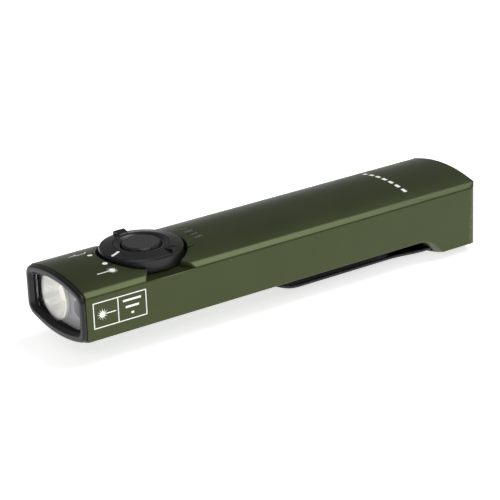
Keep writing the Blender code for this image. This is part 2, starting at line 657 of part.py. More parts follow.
def make_body():
    body = loft("body_shell", [(x, body_outline(heel_drop(x))) for x in heel_stations()], OLIVE)

    plan = [(FACE_X - OVERCUT, -HALF_WIDTH - OVERCUT), (TAIL_X - TAIL_CORNER, -HALF_WIDTH - OVERCUT)]
    for side, start in ((-1, -90), (1, 0)):
        for i in range(2 * CORNER_STEPS + 1):
            turn = radians(start + 90 * i / (2 * CORNER_STEPS))
            plan.append((TAIL_X - TAIL_CORNER + TAIL_CORNER * cos(turn),
                         side * (HALF_WIDTH - TAIL_CORNER) + TAIL_CORNER * sin(turn)))
    plan += [(TAIL_X - TAIL_CORNER, HALF_WIDTH + OVERCUT), (FACE_X - OVERCUT, HALF_WIDTH + OVERCUT)]
    trim = slab("tail_corner_trim", plan, 2 * CROWN_Z, location=(0, 0, CROWN_Z / 2))
    boolean(body, trim, "INTERSECT")

    bay = crowned_outline(BAY_HALF, BAY_TOP, BAY_BOTTOM, BAY_CORNER)
    boolean(body, across("optics_bay", bay, FACE_X - OVERCUT, BAY_END))
    cavity = rounded_box_outline(CAVITY_HALF, CAVITY_BOTTOM, CAVITY_TOP, CAVITY_CORNER)
    boolean(body, across("main_cavity", cavity, BAY_END - OVERCUT, CAVITY_END))

    boolean(body, rod("dial_pocket", POCKET_RADIUS, POCKET_FLOOR, CROWN_Z + OVERCUT,
                      (DIAL_X, 0, 0), steps=SHOWN_STEPS))
    for side in (-1, 1):
        notch = [(-NOTCH_INNER / 2, side * NOTCH_START_Y), (NOTCH_INNER / 2, side * NOTCH_START_Y)]
        flare = (NOTCH_OUTER - NOTCH_INNER) / 2 / (HALF_WIDTH - NOTCH_START_Y)
        reach = HALF_WIDTH + OVERCUT
        half_mouth = NOTCH_INNER / 2 + flare * (reach - NOTCH_START_Y)
        notch += [(half_mouth, side * reach), (-half_mouth, side * reach)]
        inner_edge = [(-NOTCH_INNER / 2, side * (NOTCH_START_Y - OVERCUT)),
                      (NOTCH_INNER / 2, side * (NOTCH_START_Y - OVERCUT))]
        outline = [inner_edge[0], notch[0], notch[3], notch[2], notch[1], inner_edge[1]]
        height = CROWN_Z + OVERCUT - POCKET_FLOOR
        where = (DIAL_X, 0, POCKET_FLOOR + height / 2)
        boolean(body, slab("finger_notch_near" if side < 0 else "finger_notch_far",
                           outline, height, location=where))
    boolean(body, rod("hub_seat", HUB_SLEEVE + GAP, POCKET_FLOOR - HUB_SEAT_DEPTH,
                      POCKET_FLOOR + OVERCUT, (DIAL_X, 0, 0)))
    boolean(body, rod("stem_hole", STEM_RADIUS + GAP, CAVITY_TOP - OVERCUT,
                      POCKET_FLOOR + OVERCUT, (DIAL_X, 0, 0)))
    for i, angle in enumerate((DETENT_ANGLE, DETENT_ANGLE - SELECTOR_TRAVEL)):
        depth = DETENT_MAGNET_HEIGHT + GAP
        boolean(body, rod(f"detent_pocket_{i + 1}", MAGNET_POCKET, CAVITY_TOP - OVERCUT,
                          CAVITY_TOP + depth, polar(MAGNET_ORBIT, angle, 0), steps=16))
    for i in range(BAR_COUNT):
        y = bar_y(i)
        boolean(body, box(f"bar_slot_{i + 1}",
                          (BAR_X - BAR_LENGTH / 2 - SEAM, y - BAR_WIDTH / 2 - SEAM, CAVITY_TOP - OVERCUT),
                          (BAR_X + BAR_LENGTH / 2 + SEAM, y + BAR_WIDTH / 2 + SEAM, CROWN_Z + OVERCUT)))

    boolean(body, rod("charge_port", PORT_RADIUS, TAIL_X - PORT_DEPTH, TAIL_X + OVERCUT,
                      (0, 0, CAVITY_Z), steps=SHOWN_STEPS, rotation=ALONG_X))
    boolean(body, rod("charge_port_neck", PORT_NECK_RADIUS, CAVITY_END - OVERCUT,
                      TAIL_X - PORT_DEPTH + OVERCUT, (0, 0, CAVITY_Z), rotation=ALONG_X))

    slot = arched_strip(CLIP_WIDTH / 2 + GAP, CLIP_ROOT_Z - CLIP_THICKNESS / 2 - GAP,
                        CLIP_ROOT_Z + CLIP_THICKNESS / 2 + GAP)
    boolean(body, across("clip_slot", slot, RAMP_START_X, CLIP_END_X + GAP))
    for side in (-1, 1):
        where = (SCREW_X, side * SCREW_SPACING / 2, 0)
        boolean(body, screw_hole(f"screw_hole_{'near' if side < 0 else 'far'}", where))
    return body


def arched_strip(half, low, high, steps=8):
    """A thin strip across the body that follows the belly's arch, as (y, z) points."""
    lower = [-half + 2 * half * i / steps for i in range(steps + 1)]
    under = [(y, low + arch_drop(BELLY_RADIUS, y)) for y in lower]
    over = [(y, high + arch_drop(BELLY_RADIUS, y)) for y in reversed(lower)]
    return under + over


def bar_y(i):
    return BAR_CENTRE_Y + (i - (BAR_COUNT - 1) / 2) * BAR_PITCH


def screw_hole(name, where):
    """From below: the head's recess up into the clip's slot, then the thread's clearance."""
    head = SCREW_HEAD_RADIUS + GAP
    shank = SCREW_RADIUS + GAP
    neck = SCREW_FACE_Z + SCREW_HEAD_HEIGHT
    profile = [(0, SCREW_FACE_Z + SCREW_LENGTH + GAP), (shank, SCREW_FACE_Z + SCREW_LENGTH + GAP),
               (shank, neck + GAP), (head, neck + GAP), (head, -OVERCUT), (0, -OVERCUT)]
    return turned(name, profile, where, steps=16)


# ---- Head -----------------------------------------------------------------------------------

def make_head():
    rear = HALF_WIDTH - BEZEL_INSET
    top, bottom = CROWN_Z - BEZEL_TOP_INSET, BELLY_Z + BEZEL_TOP_INSET
    rims = []
    for x, share in ((HEAD_X, 1.0), (HEAD_X + BEZEL_ROUND, BEZEL_SHARE), (HEAD_X + BEZEL_DEPTH, 0.0)):
        drawn = share * BEZEL_TOP_TAPER
        half = rear - share * BEZEL_TAPER
        rims.append((x, crowned_outline(half, top - drawn, bottom + drawn, BEZEL_CORNER)))
    bezel = loft("front_bezel", rims, BLACK)
    lip = rear - BEZEL_TAPER - RIM_WIDTH
    lip_top = top - BEZEL_TOP_TAPER - RIM_WIDTH
    lip_bottom = bottom + BEZEL_TOP_TAPER + RIM_WIDTH
    slope = WINDOW_BEVEL / BEZEL_DEPTH * SEAM
    opening = [(HEAD_X - SEAM, -slope), (HEAD_X + BEZEL_DEPTH + SEAM, WINDOW_BEVEL + slope)]
    boolean(bezel, loft("window_opening", [
        (x, crowned_outline(lip - draw, lip_top - draw, lip_bottom + draw, WINDOW_CORNER))
        for x, draw in opening]))

    fit = crowned_outline(FIT_HALF, FIT_TOP, FIT_BOTTOM, FIT_CORNER)
    gasket = across("window_gasket", fit, GASKET_X, GASKET_X + GASKET_THICKNESS, RUBBER)
    inner = crowned_outline(FIT_HALF - GASKET_WIDTH, FIT_TOP - GASKET_WIDTH, FIT_BOTTOM + GASKET_WIDTH,
                            FIT_CORNER - GASKET_WIDTH)
    boolean(gasket, across("gasket_opening", inner, GASKET_X - SEAM, GASKET_X + GASKET_THICKNESS + SEAM))
    across("window_glass", fit, GLASS_X, GLASS_X + GLASS_THICKNESS, GLASS)

    lens_at = (LENS_X, LENS_Y, AXIS_Z)
    rear_end = LENS_DEPTH
    taper_top = LENS_FLANGE
    profile = [(0, rear_end - LENS_POCKET_DEPTH), (LENS_POCKET_RADIUS, rear_end - LENS_POCKET_DEPTH),
               (LENS_POCKET_RADIUS, rear_end), (LENS_REAR_RADIUS, rear_end)]
    for i in range(1, 6):
        share = i / 6
        bulge = sin(pi * share) * 0.08 * LENS_BODY_RADIUS
        profile.append((LENS_REAR_RADIUS + (LENS_BODY_RADIUS - LENS_REAR_RADIUS) * share + bulge,
                        rear_end + (taper_top - rear_end) * share))
    profile += [(LENS_BODY_RADIUS, taper_top), (LENS_RADIUS, taper_top), (LENS_RADIUS, 0)]
    profile += [(LENS_BODY_RADIUS, 0), (LENS_BODY_RADIUS / 2, -0.75 * LENS_DOME), (0, -LENS_DOME)]
    turned("tir_optic", profile, lens_at, ACRYLIC, 40, ALONG_X)

    plate = across("optic_plate", fit, PLATE_X, PLATE_X + PLATE_THICKNESS, SATIN)
    carrier = across("optic_carrier", fit, CARRIER_X, CARRIER_X + CARRIER_LENGTH, ALUMINIUM)
    lens_bore = rod("lens_bore", LENS_BODY_RADIUS + 1.2 * GAP, PLATE_X - OVERCUT,
                    CARRIER_X + CARRIER_LENGTH + OVERCUT, (0, LENS_Y, AXIS_Z), steps=40, rotation=ALONG_X)
    boolean(plate, lens_bore)
    boolean(carrier, lens_bore)
    port = rod("laser_port", PLATE_PORT_RADIUS, PLATE_X - OVERCUT, PLATE_X + PLATE_THICKNESS + OVERCUT,
               (0, LASER_Y, LASER_Z), rotation=ALONG_X)
    boolean(plate, port)
    barrel_bore = rod("laser_bore", LASER_RADIUS + GAP, CARRIER_X - OVERCUT,
                      HEAT_SINK_X + HEAT_SINK_LENGTH + OVERCUT, (0, LASER_Y, LASER_Z), rotation=ALONG_X)
    boolean(carrier, barrel_bore)

    rod("led_board", LENS_BODY_RADIUS, 0, LED_BOARD_THICKNESS, (LED_BOARD_X, LENS_Y, AXIS_Z),
        WHITE_BOARD, rotation=ALONG_X)
    emitter_back = LED_BOARD_X - SEAM
    half = LED_WIDTH / 2
    emitter = box("led_emitter", (emitter_back - LED_THICKNESS, LENS_Y - half, AXIS_Z - half),
                  (emitter_back, LENS_Y + half, AXIS_Z + half), PHOSPHOR)
    dome = [(0, 0.4 * LED_DOME_RADIUS)]
    dome += [(LED_DOME_RADIUS, 0.4 * LED_DOME_RADIUS)]
    for i in range(4):
        turn = radians(22.5 * i)
        dome.append((LED_DOME_RADIUS * cos(turn), -LED_DOME_RADIUS * sin(turn)))
    dome.append((0, -LED_DOME_RADIUS))
    boolean(emitter, turned("led_dome", dome, (emitter_back - LED_THICKNESS, LENS_Y, AXIS_Z),
                            steps=16, rotation=ALONG_X), "UNION")

    sink_half, sink_low, sink_high = CAVITY_HALF - GAP, CAVITY_BOTTOM + GAP, CAVITY_TOP - GAP
    sink_outline = rounded_box_outline(sink_half, sink_low, sink_high, CAVITY_CORNER)
    sink = across("heat_sink", sink_outline, HEAT_SINK_X, HEAT_SINK_X + HEAT_SINK_LENGTH, ALUMINIUM)
    boolean(sink, barrel_bore)


def make_laser():
    centre = (LASER_X, LASER_Y, LASER_Z)
    bore = LASER_RADIUS - LASER_WALL
    profile = [(bore, LASER_LENGTH), (bore, LASER_LIP), (LASER_APERTURE, LASER_LIP),
               (LASER_APERTURE, 0), (LASER_RADIUS, 0), (LASER_RADIUS, LASER_LENGTH)]
    turned("laser_barrel", profile[::-1], centre, BRASS, 32, ALONG_X, ring=True)
    lens_start = LASER_LIP + SEAM
    edge = bore - SEAM
    lens_end = lens_start + LASER_LENS_THICKNESS
    dish = 0.25 * LASER_LENS_THICKNESS
    lens = [(0, lens_end), (edge * 0.55, lens_end - 0.3 * dish), (edge, lens_end - dish),
            (edge, lens_start + dish), (edge * 0.55, lens_start + 0.3 * dish), (0, lens_start)]
    turned("laser_lens", lens, centre, GLASS, HIDDEN_STEPS, ALONG_X)
    diode_end = LASER_LENGTH - GAP
    can = 0.72 * edge
    diode = [(0, diode_end), (edge, diode_end), (edge, diode_end - DIODE_FLANGE),
             (can, diode_end - DIODE_FLANGE), (can, diode_end - DIODE_LENGTH), (0, diode_end - DIODE_LENGTH)]
    turned("laser_diode", diode, centre, GOLD, HIDDEN_STEPS, ALONG_X)
    rod("laser_board", LASER_RADIUS - GAP, 0, LASER_BOARD_THICKNESS,
        (LASER_BOARD_X, LASER_Y, LASER_Z), BOARD, rotation=ALONG_X)


# ---- Selector dial and button ---------------------------------------------------------------

def finger_tab(name, angle):
    """A wedge on the ring: a ridged slope on the inside, a blunt end on the outside."""
    foot = RING_EDGE_Z - TAB_FOOT
    top = RING_EDGE_Z + TAB_HEIGHT
    outline = [(TAB_TOE_RADIUS, foot), (TAB_END_RADIUS, foot), (TAB_END_RADIUS, top - TAB_END_DROP),
               (TAB_CREST_RADIUS, top), (TAB_TOE_RADIUS, RING_EDGE_Z + TAB_TOE_HEIGHT)]
    wedge = slab(name, outline, TAB_WIDTH, location=(DIAL_X, 0, 0))
    wedge.rotation_euler = (radians(90), 0, radians(angle))
    return wedge


def make_dial():
    centre = (DIAL_X, 0, 0)
    rabbet = SEAL_RADIUS + SEAL_WIRE + GAP
    rabbet_top = POCKET_FLOOR + SEAM + 2 * SEAL_WIRE + GAP
    slope = RING_RISE / (RING_RADIUS - RING_COUNTERBORE)
    bevel = RING_BEVEL
    profile = [(RING_RADIUS - bevel, RING_EDGE_Z + slope * bevel), (RING_RADIUS, RING_EDGE_Z - bevel),
               (RING_RADIUS, RING_BOTTOM), (rabbet, RING_BOTTOM), (rabbet, rabbet_top),
               (RING_BORE, rabbet_top), (RING_BORE, RING_SHELF), (RING_COUNTERBORE, RING_SHELF),
               (RING_COUNTERBORE, RING_EDGE_Z + RING_RISE)]
    ring = turned("selector_ring", profile, centre, BLACK, SHOWN_STEPS, ring=True)
    for i, angle in enumerate((INDEX_ANGLE - TAB_SPREAD, INDEX_ANGLE + TAB_SPREAD)):
        boolean(ring, finger_tab(f"finger_tab_{i + 1}", angle), "UNION")
    boolean(ring, rod("ring_magnet_pocket", MAGNET_POCKET, RING_BOTTOM - OVERCUT,
                      RING_BOTTOM + RING_MAGNET_HEIGHT + 2 * GAP,
                      polar(MAGNET_ORBIT, DETENT_ANGLE, 0), steps=16))
    magnet = rod("ring_magnet", MAGNET_RADIUS, RING_BOTTOM + GAP, RING_BOTTOM + GAP + RING_MAGNET_HEIGHT,
                 polar(MAGNET_ORBIT, DETENT_ANGLE, 0), MAGNET, steps=16)
    magnet.parent = ring
    magnet.location = Vector(magnet.location) - Vector(centre)
    seal_z = POCKET_FLOOR + SEAM + SEAL_WIRE
    seal_ring("ring_seal", SEAL_RADIUS, SEAL_WIRE, (DIAL_X, 0, seal_z), RUBBER, steps=32)
    for i, angle in enumerate((DETENT_ANGLE, DETENT_ANGLE - SELECTOR_TRAVEL)):
        rod(("laser_detent_magnet", "lamp_detent_magnet")[i], MAGNET_RADIUS, CAVITY_TOP,
            CAVITY_TOP + DETENT_MAGNET_HEIGHT, polar(MAGNET_ORBIT, angle, 0), MAGNET, steps=16)

    hub = [(HUB_RADIUS, HUB_TOP - HUB_EDGE), (HUB_RADIUS, HUB_TOP - HUB_FLANGE),
           (HUB_SLEEVE, HUB_TOP - HUB_FLANGE),
           (HUB_SLEEVE, HUB_BOTTOM), (HUB_LOWER_BORE, HUB_BOTTOM), (HUB_LOWER_BORE, HUB_SHOULDER),
           (HUB_BORE, HUB_SHOULDER), (HUB_BORE, HUB_TOP - HUB_DISH),
           (HUB_BORE + 0.45 * (HUB_RADIUS - HUB_BORE), HUB_TOP - 0.75 * HUB_DISH),
           (HUB_RADIUS - HUB_EDGE, HUB_TOP)]
    turned("dial_hub", hub, centre, BLACK, SHOWN_STEPS, ring=True)


def make_button():
    centre = (DIAL_X, 0, 0)
    bore = BUTTON_RADIUS - BUTTON_SKIRT
    shoulder = BUTTON_TOP - BUTTON_FACET_DROP
    profile = [(0, BUTTON_TOP), (BUTTON_RADIUS, BUTTON_TOP), (BUTTON_RADIUS, FLANGE_BOTTOM + BUTTON_FLANGE),
               (FLANGE_RADIUS, FLANGE_BOTTOM + BUTTON_FLANGE), (FLANGE_RADIUS, FLANGE_BOTTOM),
               (bore, FLANGE_BOTTOM), (bore, CROWN_UNDERSIDE), (STEM_RADIUS, CROWN_UNDERSIDE),
               (STEM_RADIUS, STEM_TIP), (0, STEM_TIP)]
    cap = turned("button_cap", profile, centre, BUTTON, 40)
    lean = (BUTTON_RADIUS - BUTTON_FACE_RADIUS) / BUTTON_FACET_DROP
    base = BUTTON_RADIUS / cos(pi / BUTTON_FACETS)
    above = BUTTON_FACET_DROP + OVERCUT
    envelope = [(0, shoulder + above), (base - lean * above, shoulder + above), (base, shoulder),
                (FLANGE_RADIUS + OVERCUT, shoulder), (FLANGE_RADIUS + OVERCUT, STEM_TIP - OVERCUT),
                (0, STEM_TIP - OVERCUT)]
    facets = turned("button_facets", envelope, centre, steps=BUTTON_FACETS)
    facets.rotation_euler = (0, 0, radians(INDEX_ANGLE + BUTTON_FACET_TURN))
    boolean(cap, facets, "INTERSECT")

    low = POCKET_FLOOR + GAP + SPRING_WIRE
    high = CROWN_UNDERSIDE - GAP - SPRING_WIRE
    per_turn = 14
    count = SPRING_TURNS * per_turn
    coil = []
    for i in range(count + 1):
        turn = 2 * pi * i / per_turn
        coil.append(polar(SPRING_RADIUS, turn * 180 / pi, low + (high - low) * i / count))
    wire("button_spring", coil, SPRING_WIRE, STEEL)
    inner = STEM_RADIUS + SEAM
    washer("stem_seal", inner, inner + STEM_SEAL_WIDTH, POCKET_FLOOR + SEAM,
           POCKET_FLOOR + SEAM + STEM_SEAL_HEIGHT, centre, RUBBER)

    half = SWITCH_WIDTH / 2
    switch = box("switch_housing", (DIAL_X - half, -half, SWITCH_BOTTOM),
                 (DIAL_X + half, half, SWITCH_TOP), PLASTIC)
    boolean(switch, rod("switch_well", PLUNGER_RADIUS + GAP, SWITCH_BOTTOM + SWITCH_FLOOR,
                        SWITCH_TOP + OVERCUT, centre, steps=16))
    plunger = rod("switch_plunger", PLUNGER_RADIUS, SWITCH_BOTTOM + SWITCH_FLOOR + BUTTON_TRAVEL + GAP / 2,
                  PLUNGER_TOP, centre, PLASTIC, steps=16)
    plunger.parent = cap
    plunger.location = (0, 0, 0)


# ---- Electronics and battery ----------------------------------------------------------------

def make_electronics():
    box("driver_board", (BOARD_FRONT, -BOARD_HALF, BOARD_BOTTOM),
        (BOARD_REAR, BOARD_HALF, BOARD_TOP), BOARD)
    chip_x = BOARD_REAR - CHIP_WIDTH / 2 - CHIP_INSET
    low = BOARD_BOTTOM - GAP
    half = CHIP_WIDTH / 2
    box("control_chip", (chip_x - half, -half, low - CHIP_HEIGHT), (chip_x + half, half, low), CHIP)
    coil_x = DIAL_X + INDUCTOR_BEHIND
    half = INDUCTOR_WIDTH / 2
    outline = rounded_box_outline(half, -half, half, INDUCTOR_CORNER, 2)
    slab("power_inductor", outline, INDUCTOR_HEIGHT, CHIP, (coil_x, 0, low - INDUCTOR_HEIGHT / 2))
    sensor_x = DIAL_X + MAGNET_ORBIT
    half = SENSOR_WIDTH / 2
    box("position_sensor", (sensor_x - half, -half, BOARD_TOP + GAP),
        (sensor_x + half, half, BOARD_TOP + GAP + SENSOR_HEIGHT), CHIP)

    reach = (BAR_COUNT - 1) / 2 * BAR_PITCH + BAR_WIDTH
    base_low = BAR_BASE_TOP - BAR_BASE_HEIGHT
    half = BAR_LENGTH / 2 + BAR_BASE_MARGIN
    guide = box("light_guide", (BAR_X - half, BAR_CENTRE_Y - reach, base_low),
                (BAR_X + half, BAR_CENTRE_Y + reach, BAR_BASE_TOP), DIFFUSER)
    for i in range(BAR_COUNT):
        y = bar_y(i)
        top = CROWN_Z - arch_drop(CROWN_RADIUS, abs(y) + BAR_WIDTH / 2)
        boolean(guide, box(f"bar_fin_{i + 1}",
                           (BAR_X - BAR_LENGTH / 2, y - BAR_WIDTH / 2, base_low + BAR_BASE_HEIGHT / 2),
                           (BAR_X + BAR_LENGTH / 2, y + BAR_WIDTH / 2, top)), "UNION")
        half = BAR_LED_SIZE / 2
        box(f"indicator_led_{i + 1}", (BAR_X - half, y - half, BOARD_TOP + SEAM),
            (BAR_X + half, y + half, BOARD_TOP + SEAM + BAR_LED_HEIGHT), WHITE_BOARD)


def make_battery():
    middle = (CELL_BOTTOM + CELL_TOP) / 2
    half_height = (CELL_TOP - CELL_BOTTOM) / 2
    outline = rounded_box_outline(CELL_HALF, middle - half_height, middle + half_height, CELL_CORNER)
    across("battery_cell", outline, CELL_X, CELL_END, CELL_WRAP)
    box("battery_pad", (CELL_X + PAD_MARGIN, -CELL_HALF + PAD_MARGIN, CAVITY_BOTTOM + SEAM),
        (CELL_END - PAD_MARGIN, CELL_HALF - PAD_MARGIN, CAVITY_BOTTOM + SEAM + PAD_THICKNESS), FOAM)
    board_x = CELL_X - GAP - PROTECTION_THICKNESS
    box("protection_board", (board_x, -CELL_HALF + PAD_MARGIN, CELL_BOTTOM + GAP),
        (CELL_X - GAP, CELL_HALF - PAD_MARGIN, CELL_TOP - GAP), BOARD)

    start_x = board_x - GAP
    lead_z = BOARD_BOTTOM - 4 * LEAD_RADIUS
    board_z = BOARD_BOTTOM - GAP - LEAD_RADIUS
    for pole, side, look in (("positive", 1, RED_LEAD), ("negative", -1, BLACK_LEAD)):
        y = side * BATTERY_LEAD_Y
        run = [(start_x, y, lead_z), (start_x - LEAD_STEP, y, lead_z),
               (start_x - 2 * LEAD_STEP, y, lead_z - LEAD_RADIUS),
               (start_x - 3 * LEAD_STEP, y, lead_z + LEAD_RADIUS),
               (start_x - 3.5 * LEAD_STEP, y, board_z)]
        wire("battery_lead_" + pole, smooth_run(run, 3), LEAD_RADIUS, look)
    rim_y = CAVITY_HALF - LEAD_CHANNEL / 2
    level_from, level_to = CELL_X + LEAD_STEP / 2, CELL_END
    end_x = CHARGE_BOARD_FACE - GAP
    for pole, side, look in (("positive", 1, RED_LEAD), ("negative", -1, BLACK_LEAD)):
        start_y = BOARD_HALF - LEAD_START_Y
        run = [(BOARD_REAR - 2 * LEAD_STEP, side * start_y, board_z),
               (BOARD_REAR - LEAD_STEP, side * (start_y + LEAD_RADIUS), board_z - LEAD_RADIUS)]
        for i in range(6):
            run.append((level_from + (level_to - level_from) * i / 5, side * rim_y, CAVITY_Z))
        run += [(CELL_END + LEAD_STEP, side * (rim_y - LEAD_END_Y), CAVITY_Z),
                (end_x - LEAD_STEP / 2, side * (LEAD_END_Y + LEAD_RADIUS), CAVITY_Z),
                (end_x, side * LEAD_END_Y, CAVITY_Z)]
        wire("charge_lead_" + pole, smooth_run(run, 3), LEAD_RADIUS, look)


def make_charge_port():
    centre = (0, 0, CAVITY_Z)
    face = TAIL_X - PORT_RECESS
    shoulder = TAIL_X - PORT_DEPTH + GAP
    outer, neck = PORT_RADIUS - GAP, PORT_NECK_RADIUS - GAP
    hole = PIN_RADIUS + GAP
    ring_in, ring_out = CONTACT_RING_INNER - GAP, CONTACT_RING_OUTER + GAP
    ring_floor = face - CONTACT_RING_DEPTH - GAP
    groove_mid = shoulder + TAIL_GROOVE_SETBACK
    groove_half = TAIL_SEAL_WIRE + GAP / 2
    groove_floor = outer - 2 * TAIL_SEAL_WIRE - GAP
    profile = [(hole, face), (ring_in, face), (ring_in, ring_floor), (ring_out, ring_floor), (ring_out, face),
               (outer, face), (outer, groove_mid + groove_half), (groove_floor, groove_mid + groove_half),
               (groove_floor, groove_mid - groove_half), (outer, groove_mid - groove_half),
               (outer, shoulder), (neck, shoulder), (neck, PORT_NECK_END), (hole, PORT_NECK_END)]
    turned("charge_insulator", profile, centre, PLASTIC, 40, ALONG_X, ring=True)
    washer("charge_ring_contact", CONTACT_RING_INNER, CONTACT_RING_OUTER, face - CONTACT_RING_DEPTH, face,
           centre, GOLD, 40, ALONG_X)
    rod("charge_pin_contact", PIN_RADIUS, PIN_END, face + SEAM, centre, GOLD, rotation=ALONG_X)
    seal_ring("tail_seal", outer - TAIL_SEAL_WIRE, TAIL_SEAL_WIRE, (groove_mid, 0, CAVITY_Z),
              RUBBER, ALONG_X)
    washer("tail_magnet", TAIL_MAGNET_BORE, TAIL_MAGNET_RADIUS, TAIL_MAGNET_END - TAIL_MAGNET_LENGTH,
           TAIL_MAGNET_END, centre, MAGNET, HIDDEN_STEPS, ALONG_X)
    rod("charge_board", CHARGE_BOARD_RADIUS, CHARGE_BOARD_FACE, CHARGE_BOARD_END, centre, BOARD,
        rotation=ALONG_X)


# ---- Pocket clip ----------------------------------------------------------------------------

def clip_height(x):
    """Mid-thickness height of the clip along its middle line."""
    if x < CLIP_TIP_X + CLIP_TIP_LENGTH:
        return CLIP_BLADE_Z + arch_drop(CLIP_TIP_RADIUS, CLIP_TIP_X + CLIP_TIP_LENGTH - x)
    share = min(max((x - CLIP_BEND_X) / CLIP_BEND_LENGTH, 0), 1)
    return CLIP_BLADE_Z - CLIP_ROOT_SINK * (3 * share ** 2 - 2 * share ** 3)


def clip_half_width(x):
    """Half width of the clip: full, and drawn in to a round end at the tip."""
    reach = x - CLIP_TIP_X
    if reach >= CLIP_PLAN_CORNER:
        return CLIP_WIDTH / 2
    left = CLIP_PLAN_CORNER - reach
    return CLIP_WIDTH / 2 - CLIP_PLAN_CORNER + sqrt(max(CLIP_PLAN_CORNER ** 2 - left ** 2, 0))


def make_clip():
    stations = []
    for i in range(6):
        stations.append(CLIP_TIP_X + CLIP_PLAN_CORNER * (1 - cos(radians(18 * i))))
    stations.append(CLIP_TIP_X + CLIP_TIP_LENGTH)
    for i in range(7):
        stations.append(CLIP_BEND_X + CLIP_BEND_LENGTH * i / 6)
    stations.append(CLIP_END_X)
    steps = 8
    bm = bmesh.new()
    rows = []
    for x in stations:
        half = clip_half_width(x)
        row = []
        for j in range(steps + 1):
            y = -half + 2 * half * j / steps
            row.append(bm.verts.new((x, y, clip_height(x) + arch_drop(BELLY_RADIUS, y))))
        rows.append(row)
    for near, far in zip(rows, rows[1:]):
        for j in range(steps):
            bm.faces.new((near[j], far[j], far[j + 1], near[j + 1]))
    pivot = Vector((HEEL_CORNER_X, 0, CLIP_ROOT_Z))
    bmesh.ops.translate(bm, verts=bm.verts, vec=-pivot)
    mesh = mesh_from(bm, "pocket_clip")
    smooth(mesh)
    clip = place("pocket_clip", mesh, CLIP_BLACK, pivot)
    thick = clip.modifiers.new("sheet", "SOLIDIFY")
    thick.thickness = CLIP_THICKNESS
    thick.offset = 0.0
    for side in (-1, 1):
        name = "near" if side < 0 else "far"
        where = (SCREW_X, side * SCREW_SPACING / 2, 0)
        boolean(clip, rod(f"clip_hole_{name}", SCREW_RADIUS + GAP, -OVERCUT, BELLY_Z + OVERCUT, where,
                          steps=16))
        shank_top = SCREW_FACE_Z + SCREW_LENGTH
        neck = SCREW_FACE_Z + SCREW_HEAD_HEIGHT
        profile = [(0, shank_top), (SCREW_RADIUS, shank_top), (SCREW_RADIUS, neck),
                   (SCREW_HEAD_RADIUS, neck), (SCREW_HEAD_RADIUS, SCREW_FACE_Z), (0, SCREW_FACE_Z)]
        screw = turned(f"clip_screw_{name}", profile, where, SCREW_BLACK, 16)
        socket = rod(f"screw_socket_{name}", SCREW_SOCKET_RADIUS, SCREW_FACE_Z - OVERCUT,
                     SCREW_FACE_Z + SCREW_SOCKET_DEPTH, where, steps=6)
        boolean(screw, socket)


make_body()
make_head()
make_laser()
make_dial()
make_button()
make_electronics()
make_battery()
make_charge_port()
make_clip()
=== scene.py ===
from math import atan2, cos, pi, radians, sin, sqrt

import bmesh
import bpy
from mathutils import Matrix, Vector


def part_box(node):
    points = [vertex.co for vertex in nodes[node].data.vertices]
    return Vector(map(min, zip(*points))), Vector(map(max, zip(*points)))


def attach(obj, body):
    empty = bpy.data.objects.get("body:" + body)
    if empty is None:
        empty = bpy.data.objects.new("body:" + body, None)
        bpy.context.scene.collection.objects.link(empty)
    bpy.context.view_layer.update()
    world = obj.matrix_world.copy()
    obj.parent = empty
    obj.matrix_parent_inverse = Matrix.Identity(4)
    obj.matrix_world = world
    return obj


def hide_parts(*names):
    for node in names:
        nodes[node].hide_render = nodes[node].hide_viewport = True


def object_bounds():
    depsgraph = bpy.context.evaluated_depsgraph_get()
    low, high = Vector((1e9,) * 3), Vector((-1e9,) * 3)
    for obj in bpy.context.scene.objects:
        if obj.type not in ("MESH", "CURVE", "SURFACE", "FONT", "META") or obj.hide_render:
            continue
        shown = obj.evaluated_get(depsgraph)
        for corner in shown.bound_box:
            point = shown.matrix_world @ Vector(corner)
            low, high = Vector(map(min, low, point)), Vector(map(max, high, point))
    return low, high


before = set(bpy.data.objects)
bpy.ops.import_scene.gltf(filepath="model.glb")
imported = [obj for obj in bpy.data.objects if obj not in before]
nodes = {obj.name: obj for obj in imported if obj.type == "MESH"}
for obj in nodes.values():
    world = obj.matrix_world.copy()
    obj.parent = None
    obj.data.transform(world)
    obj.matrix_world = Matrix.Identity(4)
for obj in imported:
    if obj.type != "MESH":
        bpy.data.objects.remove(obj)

mm = 0.001
cadLow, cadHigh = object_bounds()
scene = bpy.context.scene
scene.view_settings.view_transform = "Standard"
print("frame loaded:", len(nodes), "nodes")


# Where things are, from the frame.
bodyLow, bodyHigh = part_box("body_shell")
hubLow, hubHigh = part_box("dial_hub")
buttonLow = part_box("button_cap")[0]
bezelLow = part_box("front_bezel")[0]
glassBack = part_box("window_glass")[1].x
plateLow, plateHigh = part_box("optic_plate")
clipLow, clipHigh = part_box("pocket_clip")
portLow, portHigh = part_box("charge_insulator")
dialX = (hubLow.x + hubHigh.x) / 2
faceX = bodyLow.x
tailX = bodyHigh.x
halfWidth = bodyHigh.y
crownZ = bodyHigh.z

